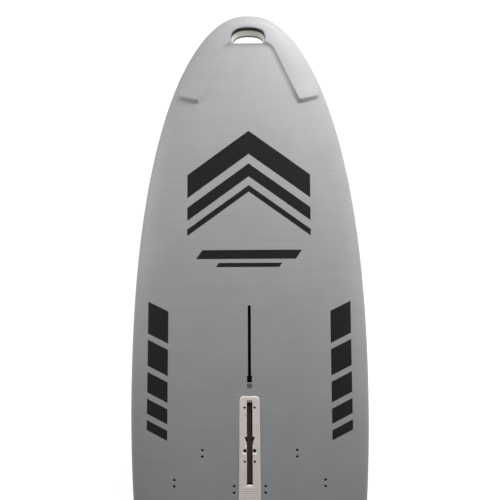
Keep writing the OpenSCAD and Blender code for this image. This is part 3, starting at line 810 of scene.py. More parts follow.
class NodeRig(TreeBuilder):
    """One Geometry Nodes tree, its named inputs, and the modifier that runs it."""

    def __init__(self, name: str) -> None:
        """Makes an empty tree with a geometry input and output."""
        super().__init__(bpy.data.node_groups.new(name, "GeometryNodeTree"))
        for way in ("INPUT", "OUTPUT"):
            self.tree.interface.new_socket("Geometry", in_out=way, socket_type="NodeSocketGeometry")
        self.entry, self.exit = self.node("NodeGroupInput"), self.node("NodeGroupOutput")
        self.values: dict[str, Any] = {}

    def input(self, name: str, kind: str, value: Any) -> NodeSocket:
        """Adds a named input and keeps the value it gets.

        Args:
            name: the input's name.
            kind: its socket type.
            value: what the modifier sets it to.

        Returns:
            The socket to link from.
        """
        item = self.tree.interface.new_socket(name, in_out="INPUT", socket_type=kind)
        self.values[item.identifier] = value
        return next(s for s in self.entry.outputs if s.identifier == item.identifier)

    def number(self, name: str, value: float) -> Field:
        """Adds a named size and returns it as a field."""
        return Field(self.tree, self.input(name, "NodeSocketFloat", value))

    def position(self) -> tuple[Field, Field, Field]:
        """The three coordinates of each point."""
        parts = self.node("ShaderNodeSeparateXYZ", Vector=self.node("GeometryNodeInputPosition").outputs[0])
        return tuple(Field(self.tree, socket) for socket in parts.outputs)

    def placed(self, geometry: NodeSocket,
               place: tuple[Value, Value, Value]) -> NodeSocket:
        """Moves the points of a geometry to a place given by fields."""
        vector = self.node("ShaderNodeCombineXYZ", X=place[0], Y=place[1], Z=place[2])
        return self.node("GeometryNodeSetPosition", Geometry=geometry,
                         Position=vector.outputs[0]).outputs[0]

    def copies(self, name: str, template: Object, points: NodeSocket,
               **links: Any) -> NodeSocket:
        """Puts copies of an object on points.

        Args:
            name: name of the input that holds the object.
            template: the object.
            points: where the copies go.
            links: further inputs, such as Rotation.

        Returns:
            The copies.
        """
        info = self.node("GeometryNodeObjectInfo", Object=self.input(name, "NodeSocketObject", template))
        return self.node("GeometryNodeInstanceOnPoints", Points=points, Instance=info.outputs["Geometry"],
                         **links).outputs[0]

    def joined(self, *parts: NodeSocket) -> NodeSocket:
        """Joins geometries.

        Args:
            parts: the geometries.

        Returns:
            All of them together.
        """
        join = self.node("GeometryNodeJoinGeometry")
        for part in parts:
            feed(self.tree, join.inputs[0], part)
        return join.outputs[0]

    def finish(self, geometry: NodeSocket, material: Material,
               ink: Optional[Material] = None) -> None:
        """Ends the tree with Realize Instances and Set Material.

        Args:
            geometry: what the tree has made.
            material: its finish.
            ink: finish of the faces that the attribute ink marks.
        """
        last = self.node("GeometryNodeRealizeInstances", Geometry=geometry).outputs[0]
        finish = self.input("Finish", "NodeSocketMaterial", material)
        last = self.node("GeometryNodeSetMaterial", Geometry=last, Material=finish).outputs[0]
        if ink is not None:
            named = self.node("GeometryNodeInputNamedAttribute", {"data_type": "BOOLEAN"}, Name="ink")
            marked = next(s for s in named.outputs if s.name == "Attribute" and s.enabled)
            print_finish = self.input("Print finish", "NodeSocketMaterial", ink)
            last = self.node("GeometryNodeSetMaterial", Geometry=last, Selection=marked,
                             Material=print_finish).outputs[0]
        feed(self.tree, self.exit.inputs[0], last)

    def run(self, mesh: Mesh, name: str) -> Object:
        """Runs the tree on a mesh and makes the result a plain mesh.

        Args:
            mesh: the tree's input.
            name: name of the piece.

        Returns:
            The piece's object, with no modifier.
        """
        source = new_object(name, mesh)
        modifier = source.modifiers.new("rule", "NODES")
        modifier.node_group = self.tree
        for identifier, value in self.values.items():
            modifier[identifier] = value
        make_plain(source)
        return source


def new_object(name: str, mesh: Mesh) -> Object:
    """Adds an object at the origin."""
    obj = bpy.data.objects.new(name, mesh)
    bpy.context.scene.collection.objects.link(obj)
    return obj


def make_plain(obj: Object) -> None:
    """Gives an object the mesh that its modifiers make, and removes them."""
    graph = bpy.context.evaluated_depsgraph_get()
    graph.update()
    made = bpy.data.meshes.new_from_object(obj.evaluated_get(graph), depsgraph=graph)
    obj.modifiers.clear()
    start, obj.data = obj.data, made
    bpy.data.meshes.remove(start)
    made.name = obj.name


def smooth(obj: Object, angle: float = 32.0) -> None:
    """Shades an object smoothly, with sharp edges above an angle in degrees."""
    obj.data.shade_smooth()
    obj.data.set_sharp_from_angle(angle=math.radians(angle))


def hull_rig(name: str, face: HullFace, paint: Material,
             ink: Optional[Material] = None) -> NodeRig:
    """Makes the tree that shapes a flat sheet by the hull's rule.

    Args:
        name: name of the tree.
        face: which skin the sheet is for.
        paint: finish of the sheet.
        ink: finish of its printed faces.

    Returns:
        The tree.
    """
    rig = NodeRig(name)
    sizes = {f.name: rig.number(f.name.replace("_", " ").capitalize(), getattr(LINES, f.name))
             for f in fields(HullLines)}
    shaped = rig.placed(rig.entry.outputs[0], HullLines(**sizes).point(*rig.position(), face))
    rig.finish(shaped, paint, ink)
    return rig


# Finishes


class Shader(TreeBuilder):
    """Builds the node tree of one material."""

    def __init__(self, name: str) -> None:
        """Makes a material with a Principled shader and Object coordinates."""
        self.material = bpy.data.materials.new(name)
        self.material.use_nodes = True
        super().__init__(self.material.node_tree)
        self.surface = self.tree.nodes["Principled BSDF"]
        self.coordinates = self.node("ShaderNodeTexCoord").outputs["Object"]

    def noise(self, scale: float, detail: float = 3.0, stretch: Point = (1.0, 1.0, 1.0),
              rough: float = 0.55) -> Field:
        """Noise on Object coordinates.

        Args:
            scale: size of the pattern, in repeats a metre.
            detail: how many finer layers it has.
            stretch: factors along the three axes.
            rough: weight of the finer layers.

        Returns:
            The noise, around one half.
        """
        place = self.node("ShaderNodeMapping", Vector=self.coordinates, Scale=stretch)
        return self.field("Fac", "ShaderNodeTexNoise", Vector=place.outputs[0], Scale=scale,
                          Detail=detail, Roughness=rough)

    def mix(self, share: Field, a: Value, b: Value) -> NodeSocket:
        """Mixes two colours.

        Args:
            share: share of the second.
            a: the first.
            b: the second.

        Returns:
            The mixed colour.
        """
        node = self.node("ShaderNodeMix", {"data_type": "RGBA"})
        for number, value in ((0, share), (6, a), (7, b)):
            feed(self.tree, node.inputs[number], value)
        return node.outputs[2]

    def tinted(self, colour: Value, value: Field) -> NodeSocket:
        """Scales a colour's brightness by a value."""
        return self.node("ShaderNodeHueSaturation", Value=value, Color=colour).outputs[0]

    def paint_texture(self) -> tuple[Field, Field]:
        """The streaks and the grain of the deck's paint, which the print on it takes too."""
        return self.noise(1.0, 5.0, (5.0, 330.0, 5.0), 0.6), self.noise(750.0, 2.0)

    def coordinate(self, axis: int) -> Field:
        """One Object coordinate: 0, 1 or 2."""
        return self.field(axis, "ShaderNodeSeparateXYZ", Vector=self.coordinates)

    def dress(self, colour: NodeSocket, rough: Field, gloss: float = 0.5, metal: float = 0.0) -> None:
        """Sets the surface.

        Args:
            colour: its colour.
            rough: its roughness.
            gloss: how strongly it mirrors its surroundings; one half is a plain plastic.
            metal: 1 for a metal.
        """
        self.connect(self.surface, Base_Color=colour, Roughness=rough, Specular_IOR_Level=gloss,
                     Metallic=metal)

    def bump(self, height: Field, depth: float, strength: float = 1.0) -> None:
        """Adds a bump over those that are there.

        Args:
            height: the pattern.
            depth: its depth in metres.
            strength: share of it that shows.
        """
        node = self.node("ShaderNodeBump", Height=height, Strength=strength, Distance=depth)
        for old in self.surface.inputs["Normal"].links:
            self.connect(node, Normal=old.from_socket)
        self.connect(self.surface, Normal=node.outputs[0])


class Finish:
    """A finish: a name, its values, and how they dress a material."""

    name: str

    def dress(self, sheet: Shader) -> None:
        """Dresses a material; each finish has its own way."""
        raise NotImplementedError

    def material(self) -> Material:
        """Makes the material."""
        sheet = Shader(self.name)
        self.dress(sheet)
        return sheet.material


@dataclass(frozen=True)
class DeckPaint(Finish):
    """Satin grey paint with faint streaks across the board, fine grain and a small stain."""

    name: str = "deck_paint"
    base: Colour = (0.335, 0.338, 0.344)
    stain: Colour = (0.20, 0.14, 0.09)
    stain_place: Point = (-0.154, 1.052, 0.23)
    stain_radius: float = 0.016

    def dress(self, sheet: Shader) -> None:
        """Dresses a material.

        Args:
            sheet: the material's nodes.
        """
        streaks, grain = sheet.paint_texture()
        mottle = sheet.noise(9.0, 4.0)
        bright = (sheet.span(streaks, 0.25, 0.75, -0.055, 0.055) + sheet.span(mottle, 0.3, 0.7, 0.965, 1.035)
                  + sheet.span(grain, 0.3, 0.7, -0.03, 0.03))
        colour = sheet.tinted(self.base, bright)
        offset = sheet.node("ShaderNodeVectorMath", {"operation": "DISTANCE"}, Vector=sheet.coordinates)
        offset.inputs[1].default_value = self.stain_place
        near = sheet.span(offset.outputs["Value"], 0.2 * self.stain_radius, self.stain_radius, 0.55, 0.0)
        patch = near * sheet.span(sheet.noise(160.0, 3.0), 0.4, 0.62, 0.0, 1.0)
        sheet.dress(sheet.mix(patch, colour, self.stain), sheet.span(streaks, 0.25, 0.75, 0.44, 0.58), 0.36)
        sheet.bump(grain, 0.00012)
        sheet.bump(streaks, 0.0001, 0.5)


@dataclass(frozen=True)
class PrintInk(Finish):
    """Black or dark print on the deck, which takes the paint's grain."""

    name: str
    base: Colour
    level: float = 0.15

    def dress(self, sheet: Shader) -> None:
        """Dresses a material.

        Args:
            sheet: the material's nodes.
        """
        streaks, grain = sheet.paint_texture()
        sheet.dress(sheet.tinted(self.base, sheet.span(streaks, 0.25, 0.75, 0.8, 1.25)),
                    sheet.span(grain, 0.3, 0.7, 0.42, 0.56), self.level)
        sheet.bump(grain, 0.0001)


@dataclass(frozen=True)
class MouldedPlastic(Finish):
    """Moulded plastic with a fine grain, slight clouds of colour and scuffs."""

    name: str
    base: Colour
    shine: float = 0.45
    grain: float = 900.0
    depth: float = 0.00008
    clouds: float = 0.08
    scuffs: float = 0.25
    level: float = 0.5

    def dress(self, sheet: Shader) -> None:
        """Dresses a material.

        Args:
            sheet: the material's nodes.
        """
        clouds = sheet.noise(22.0, 4.0)
        grain = sheet.noise(self.grain, 2.0)
        scuff = sheet.noise(60.0, 6.0, (1.0, 6.0, 1.0), 0.7)
        bright = (sheet.span(clouds, 0.3, 0.7, 1 - self.clouds, 1 + self.clouds)
                  + sheet.span(scuff, 0.62, 0.75, 0.0, self.scuffs * 0.5))
        worn = sheet.span(scuff, 0.55, 0.75, self.shine, min(0.95, self.shine + self.scuffs))
        sheet.dress(sheet.tinted(self.base, bright), worn, self.level)
        sheet.bump(grain, self.depth)


@dataclass(frozen=True)
class CassettePlastic(Finish):
    """White plate, warm where it is handled, lighter on its broken edges from wear and a painted highlight,
    and darker inside its openings below its top from dirt and painted shade.
    """

    name: str = "cassette_plate_plastic"
    base: Colour = (0.84, 0.775, 0.735)
    grime: Colour = (0.12, 0.098, 0.082)
    silt: Colour = (0.30, 0.20, 0.13)
    rubbed: Colour = (0.94, 0.90, 0.865)
    top: float = 0.1325
    slot_half: float = 0.009
    slot_front: float = 0.015
    slot_rear: float = -0.2495
    ledge: float = 0.007

    def dress(self, sheet: Shader) -> None:
        """Dresses a material.

        Args:
            sheet: the material's nodes.
        """
        clouds = sheet.noise(35.0, 4.0)
        grain = sheet.noise(1100.0, 2.0)
        scuff = sheet.noise(90.0, 6.0, (5.0, 1.0, 1.0), 0.7)
        bright = sheet.span(clouds, 0.3, 0.7, 0.94, 1.05) + sheet.span(scuff, 0.58, 0.75, 0.0, -0.14)
        x, y, z = (sheet.coordinate(axis) for axis in range(3))

        def below(deep: float, shallow: float) -> Field:
            """1 at a depth under the plate's top and below, 0 at a lesser depth and above."""
            return sheet.span(z, self.top - deep, self.top - shallow, 1.0, 0.0)

        # The broken edges just under the top turn lighter: wear, and a painted highlight.
        colour = sheet.mix(below(0.0004, 0.0001), sheet.tinted(self.base, bright), self.rubbed)
        # Inside the openings the plate darkens below its top, and along the slot's sides just under its
        # edges: dirt, and painted shade.
        beside = sheet.span(magnitude(x), self.slot_half + 0.0006, self.slot_half + 0.0012, 1.0, 0.0)
        ahead = sheet.span(y, self.slot_rear + 0.001, self.slot_rear + 0.002, 0.0, 1.0)
        grime_shade_mask = larger(below(0.0075, 0.0028) * sheet.span(clouds, 0.3, 0.6, 0.75, 1.0),
                      beside * below(0.0008, 0.0001) * ahead)
        # The ledge at the slot's front end keeps less of this painted shade.
        ledge = self.slot_front - self.ledge
        grime_shade_mask = grime_shade_mask * sheet.span(y, ledge - 0.001, ledge + 0.0005, 1.0, 0.15)
        # Deeper than 11 to 20 mm the openings turn brown: dirt, and painted shade.
        sheet.dress(sheet.mix(below(0.020, 0.011), sheet.mix(grime_shade_mask, colour, self.grime), self.silt),
                    sheet.span(scuff, 0.5, 0.75, 0.38, 0.6), 0.4)
        sheet.bump(grain, 0.00008)


@dataclass(frozen=True)
class BottomCoat(Finish):
    """Glossy white coat with faint long scratches and a trace of yellowing."""

    name: str = "bottom_coat"
    base: Colour = (0.74, 0.74, 0.725)
    yellowed: Colour = (0.70, 0.675, 0.60)

    def dress(self, sheet: Shader) -> None:
        """Dresses a material.

        Args:
            sheet: the material's nodes.
        """
        clouds = sheet.noise(3.5, 4.0)
        scratch = sheet.noise(1.0, 6.0, (420.0, 6.0, 6.0), 0.7)
        colour = sheet.mix(sheet.span(clouds, 0.45, 0.8, 0.0, 0.5), self.base, self.yellowed)
        sheet.dress(sheet.tinted(colour, sheet.span(scratch, 0.64, 0.74, 1.0, 0.86)),
                    sheet.span(scratch, 0.55, 0.75, 0.24, 0.5))
        sheet.bump(scratch, 0.00006)
        sheet.bump(sheet.noise(14.0, 2.0), 0.0006, 0.35)


@dataclass(frozen=True)
class Rubber(Finish):
    """Black rubber with a dusty bloom."""

    name: str
    base: Colour = (0.012, 0.0115, 0.0115)
    bloom: Colour = (0.05, 0.048, 0.046)

    def dress(self, sheet: Shader) -> None:
        """Dresses a material.

        Args:
            sheet: the material's nodes.
        """
        dust = sheet.noise(70.0, 5.0)
        grain = sheet.noise(1400.0, 3.0)
        sheet.dress(sheet.mix(sheet.span(dust, 0.48, 0.75, 0.0, 0.6), self.base, self.bloom),
                    sheet.span(dust, 0.3, 0.7, 0.6, 0.85), 0.2)
        sheet.bump(grain, 0.00012)


@dataclass(frozen=True)
class TurnedMetal(Finish):
    """Metal with fine tool marks and dulled patches."""

    name: str
    base: Colour
    dull: Colour
    shine: float = 0.28

    def dress(self, sheet: Shader) -> None:
        """Dresses a material.

        Args:
            sheet: the material's nodes.
        """
        marks = sheet.noise(1.0, 4.0, (2500.0, 300.0, 300.0))
        patches = sheet.noise(160.0, 5.0)
        sheet.dress(sheet.mix(sheet.span(patches, 0.45, 0.7, 0.0, 0.8), self.base, self.dull),
                    sheet.span(patches, 0.35, 0.7, self.shine, self.shine + 0.3), metal=1.0)
        sheet.bump(marks, 0.00003)


@dataclass(frozen=True)
class CellFoam(Finish):
    """Foam with visible cells."""

    name: str
    base: Colour
    cells: float = 420.0

    def dress(self, sheet: Shader) -> None:
        """Dresses a material.

        Args:
            sheet: the material's nodes.
        """
        cells = sheet.field("Distance", "ShaderNodeTexVoronoi", Vector=sheet.coordinates, Scale=self.cells)
        sheet.dress(sheet.tinted(self.base, sheet.span(cells, 0.0, 0.7, 0.8, 1.05)),
                    sheet.span(sheet.noise(40.0), 0.3, 0.7, 0.75, 0.95))
        sheet.bump(cells, 0.0004)


class Finishes:
    """All finishes of the board, each made once."""

    def __init__(self) -> None:
        """Makes the materials."""
        def plastic(name: str, *values: Any, **named: Any) -> Material:
            """A moulded plastic."""
            return MouldedPlastic(name, *values, **named).material()

        def metal(name: str, *values: Any) -> Material:
            """A turned metal."""
            return TurnedMetal(name, *values).material()

        self.deck = DeckPaint().material()
        self.ink = PrintInk("deck_print_black", (0.0060, 0.0057, 0.0074)).material()
        self.bottom = BottomCoat().material()
        self.cassette = CassettePlastic().material()
        self.black = plastic("black_plastic", (0.0026, 0.0026, 0.0028), 0.5, clouds=0.2, level=0.06)
        self.pale = plastic("pale_plastic", (0.83, 0.845, 0.785), 0.5)
        self.grey = plastic("grey_plastic", (0.115, 0.115, 0.12), 0.4, clouds=0.12, level=0.3)
        self.brown = plastic("brown_plastic", (0.090, 0.048, 0.025), 0.45, 500.0, 0.00012, 0.18, level=0.12)
        self.silted = plastic("plunger_plastic", (0.040, 0.029, 0.021), 0.6, clouds=0.2, level=0.2)
        self.leather = plastic("washer_leather", (0.11, 0.06, 0.03), 0.75, 700.0, 0.0002, 0.2)
        self.rubber = Rubber("rubber_black").material()
        self.grip = Rubber("grip_rubber", (0.048, 0.027, 0.016), (0.068, 0.042, 0.027)).material()
        self.steel = metal("steel", (0.55, 0.55, 0.55), (0.30, 0.29, 0.28))
        self.dark_steel = metal("dark_steel", (0.009, 0.008, 0.008), (0.005, 0.004, 0.004), 0.45)
        self.brass = metal("brass", (0.62, 0.42, 0.16), (0.34, 0.24, 0.11))
        self.foam = CellFoam("core_foam", (0.82, 0.82, 0.80)).material()
        self.dense_foam = CellFoam("dense_foam", (0.62, 0.46, 0.16), 900.0).material()


# Pieces


def deliver(obj: Object, body: Body, slot: str, *nodes: str) -> Object:
    """Hands a finished piece to the frame.

    Args:
        obj: the piece.
        body: the body it rides on.
        slot: the record's material slot, which is only logged.
        nodes: CAD nodes that it stands for.

    Returns:
        The piece.
    """
    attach(obj, body.value)
    if nodes:
        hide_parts(*nodes)
    LOG.info("%s: %d faces on %s, slot %s", obj.name, len(obj.data.polygons), body.value, slot)
    return obj


@dataclass
class HandHole:
    """The hand hole in the nose: its outline, collar and liner."""

    front: float = 1.2492
    back: float = 1.198
    half: float = 0.0565
    arch: float = 0.031
    power: float = 2.4
    corner: float = 0.008
    wall: float = 0.003
    bond: float = 0.00025
    lip_sink: float = 0.0003
    collar_depth: float = 0.022
    lip_reach: float = 0.006
    liner_draw: float = 0.0045
    lip: Pairs = (
        (0.003, 0.0011), (0.0029, 0.0004), (0.0026, 0.0001), (0.0022, 0.0), (0.0014, 0.0),
        (0.0007, 0.0002), (0.0002, 0.0007), (0.0, 0.0014))
    step: float = 0.0025
    arch_points: int = 41

    def outline(self, grow: float) -> Array:
        """Outline of the hole, flat behind and round in front, grown by a distance.

        Args:
            grow: the distance.

        Returns:
            The outline's points, evenly spaced.
        """
        corners = [(-self.half, self.back, self.corner), (self.half, self.back, self.corner)]
        for a in np.linspace(0.0, math.pi, self.arch_points):
            c, s = math.cos(a), max(math.sin(a), 0.0)
            corners.append((math.copysign(self.half * abs(c) ** (2 / self.power), c),
                            self.front - self.arch + self.arch * s ** (2 / self.power), 0.0))
        even = resample(fillet(corners), self.step, False)
        return even + grow * outward(even)

    def cut(self) -> Array:
        """Outline of the opening that the collar and the liner are set in."""
        return self.outline(self.wall + self.bond)

    def ring(self, name: str, profile: Sequence[Pair], painted: Sequence[int],
             levels: Callable[[Array, Array, float], Array],
             *materials: Material) -> Object:
        """Sweeps a closed profile along the outline.

        Args:
            name: name of the piece.
            profile: distance from the hole's edge and place in height, counter-clockwise.
            painted: numbers of the profile's sides that take the second finish.
            levels: height of a place at points in plan.
            materials: the two finishes.

        Returns:
            The ring.
        """
        base = self.outline(0.0)
        normals = outward(base)
        shell = ShellBuilder()
        rings = []
        for off, place in profile:
            plan = base + off * normals
            rings.append(shell.add(raised(plan, levels(*plan.T, place))))
        for side, (upper, lower) in enumerate(zip(rings, rings[1:] + rings[:1])):
            shell.wall(upper, lower, True, side in painted)
        mesh = shell.mesh(name)
        mesh.polygons.foreach_set("material_index", np.array(shell.inked, np.int32))
        for material in materials:
            mesh.materials.append(material)
        obj = new_object(name, mesh)
        smooth(obj, 40.0)
        return obj

    def build(self, finishes: Finishes, pad: Callable[[Array, Array], Array]) -> None:
        """Makes the collar with its painted lip, and the liner below it, grey in its lower part as painted
        shade.

        Args:
            finishes: the board's finishes.
            pad: height of the nose guard over the deck at points in plan.
        """
        def collar_level(x: Array, y: Array, drop: float) -> Array:
            """Height at a drop under the guard's face, or of the collar's lower end."""
            if math.isinf(drop):
                return LINES.height(x, y) - self.collar_depth
            return LINES.height(x, y) + pad(x, y) - self.lip_sink - drop

        def liner_level(x: Array, y: Array, share: float) -> Array:
            """Height at a share of the way from the collar down to the liner's lower end."""
            top = LINES.height(x, y) - self.collar_depth - self.bond
            low = LINES.height(x, y, HullFace.BOTTOM) - self.lip_reach
            return top + share * (low - top)

        last, wall, draw = len(self.lip), self.wall, self.liner_draw
        collar = self.ring("hand_hole_rim", [*self.lip, (0.0, math.inf), (wall, math.inf)],
                           (*range(last - 1), last + 1), collar_level, finishes.black, finishes.deck)
        deliver(collar, Body.BOARD, "black_plastic", "hand_hole_collar")
        profile = [(wall, 0.0), (0.0006, 0.0), (0.0, 0.02), (-0.7 * draw, 0.70), (-draw, 0.97),
                   (0.001 - draw, 1.0), (wall, 1.0)]
        # The liner's lowest sides take the grey finish: a band of painted shade along its lower end.
        liner = self.ring("hand_hole_liner", profile, (3, 4, 5), liner_level, finishes.pale, finishes.grey)
        deliver(liner, Body.BOARD, "pale_plastic", "hand_hole_sleeve")


@dataclass
class DeckPrint:
    """A plain pattern of stripes printed on the deck."""

    chevron_tips: Sizes = (0.905, 0.795, 0.722)
    chevron_bands: Sizes = (0.078, 0.044, 0.022)
    chevron_half: float = 0.205
    chevron_sweep: float = 0.72
    tick_x: float = 0.300
    tick_start: float = 0.32
    tick_lengths: Sizes = (0.105, 0.085, 0.066, 0.048, 0.032)
    tick_half: float = 0.034
    tick_gap: float = 0.020
    bar_places: Sizes = (0.505, 0.462)
    bar_sizes: Pairs = ((0.165, 0.030), (0.105, 0.014))
    tick_slant: float = 0.5
    bar_slant: float = 0.35
    step: float = 0.012

    def outlines(self) -> list[Array]:
        """Outlines of the stripes, counter-clockwise.

        Returns:
            One outline for each stripe.
        """
        out = []
        for tip, band in zip(self.chevron_tips, self.chevron_bands):
            half, drop = self.chevron_half, self.chevron_half * self.chevron_sweep
            out.append(np.array([(0.0, tip - band), (half, tip - band - drop), (half, tip - drop),
                                 (0.0, tip), (-half, tip - drop), (-half, tip - band - drop)]))
        y, wide = self.tick_start, self.tick_half
        for length in self.tick_lengths:
            for side in (1, -1):
                x, slant = side * self.tick_x, side * self.tick_slant * wide
                out.append(np.array([(x - wide, y - length - slant), (x + wide, y - length + slant),
                                     (x + wide, y + slant), (x - wide, y - slant)]))
            y -= length + self.tick_gap
        for place, (half, band) in zip(self.bar_places, self.bar_sizes):
            lean = self.bar_slant * band
            out.append(np.array([(-half - lean, place - band), (half - lean, place - band),
                                 (half + lean, place), (-half + lean, place)]))
        return [resample(points, self.step) for points in out]


@dataclass
class Hull:
    """The deck and bottom skins, with their openings and the print."""

    hand_hole: HandHole
    print_work: DeckPrint
    strap_step: Pair = (-0.102, -0.112)
    straps: Pairs = ((0.152, -0.1425), (0.2415, -0.2355), (0.150, -0.700))
    strap_pitch: float = 0.020
    strap_hole: float = 0.0039
    strap_chamfer: float = 0.0014
    vent_place: float = 0.061
    vent_hole: float = 0.0085
    vent_chamfer: float = 0.0005
    track_half: float = 0.005
    track_front: float = 0.317
    entry_half: float = 0.008
    entry_ends: Pair = (0.072, 0.094)
    track_chamfer: float = 0.0007
    plate_halves: Pair = (0.03635, 0.03285)
    plate_ends: Pair = (-0.3903, 0.0290)
    plate_corner: float = 0.0143
    bottom_slots: tuple[Point, ...] = (
        (0.0223, -0.7303, -0.0291), (0.0183, -1.1403, -0.8697))
    slot_corner: float = 0.0006
    slot_chamfer: float = 0.0006
    hand_chamfer: float = 0.001
    deck_step: float = 0.008
    bottom_step: float = 0.012

    SLOT_STEPS = 5

    def strap_holes(self) -> list[Loop]:
        """Screw holes of the foot straps, on both sides.

        Returns:
            Their lines.
        """
        found = []
        for (x, y), end, row, side in product(self.straps, (0, 1), (0, 1), (-1, 1)):
            place = (side * (x + end * self.strap_step[0]),
                     y + end * self.strap_step[1] - row * self.strap_pitch)
            found.append(Loop(circle(*place, self.strap_hole), chamfer=self.strap_chamfer))
        return found

    def track_opening(self) -> Loop:
        """Slot of the mast track, with the wider way in at its rear end.

        Returns:
            Its line.
        """
        half, wide, (rear, front) = self.track_half, self.entry_half, self.entry_ends
        nose = [(half * math.cos(a), self.track_front + half * math.sin(a))
                for a in np.linspace(0, math.pi, 13)]
        corners = [(wide, rear), (wide, front), (half, front), *nose,
                   (-half, front), (-wide, front), (-wide, rear)]
        return Loop(resample(np.array(corners), self.deck_step), chamfer=self.track_chamfer)

    def skin(self, face: HullFace, loops: list[Loop], slot: str, *finish: Material) -> None:
        """Makes one skin.

        Args:
            face: which skin.
            loops: its openings and print.
            slot: the record's material slot.
            finish: its finish, and that of its print.
        """
        name = face.name.lower()
        sheet = HullSkin(face, loops=loops).flat_sheet(f"{name}_sheet")
        piece = hull_rig(f"{name}_rule", face, *finish).run(sheet, f"{name}_shell")
        smooth(piece)
        deliver(piece, Body.BOARD, slot, f"{name}_skin")

    def build(self, finishes: Finishes) -> None:
        """Makes both skins.

        Args:
            finishes: the board's finishes.
        """
        hand = self.hand_hole.cut()
        plate = tapered(self.plate_halves, self.plate_ends, self.plate_corner)
        loops = [Loop(hand), self.track_opening(),
                 Loop(circle(0.0, self.vent_place, self.vent_hole, 32), chamfer=self.vent_chamfer),
                 Loop(resample(plate, self.deck_step), chamfer=self.slot_chamfer), *self.strap_holes()]
        loops += [Loop(points, LoopKind.PRINT) for points in self.print_work.outlines()]
        self.skin(HullFace.DECK, loops, "deck_grey", finishes.deck, finishes.ink)
        loops = [Loop(hand, chamfer=self.hand_chamfer)]
        for half, *ends in self.bottom_slots:
            slot = tapered((half, half), ends, self.slot_corner, self.SLOT_STEPS)
            loops.append(Loop(resample(slot, self.bottom_step), chamfer=self.slot_chamfer))
        self.skin(HullFace.BOTTOM, loops, "bottom_white", finishes.bottom)


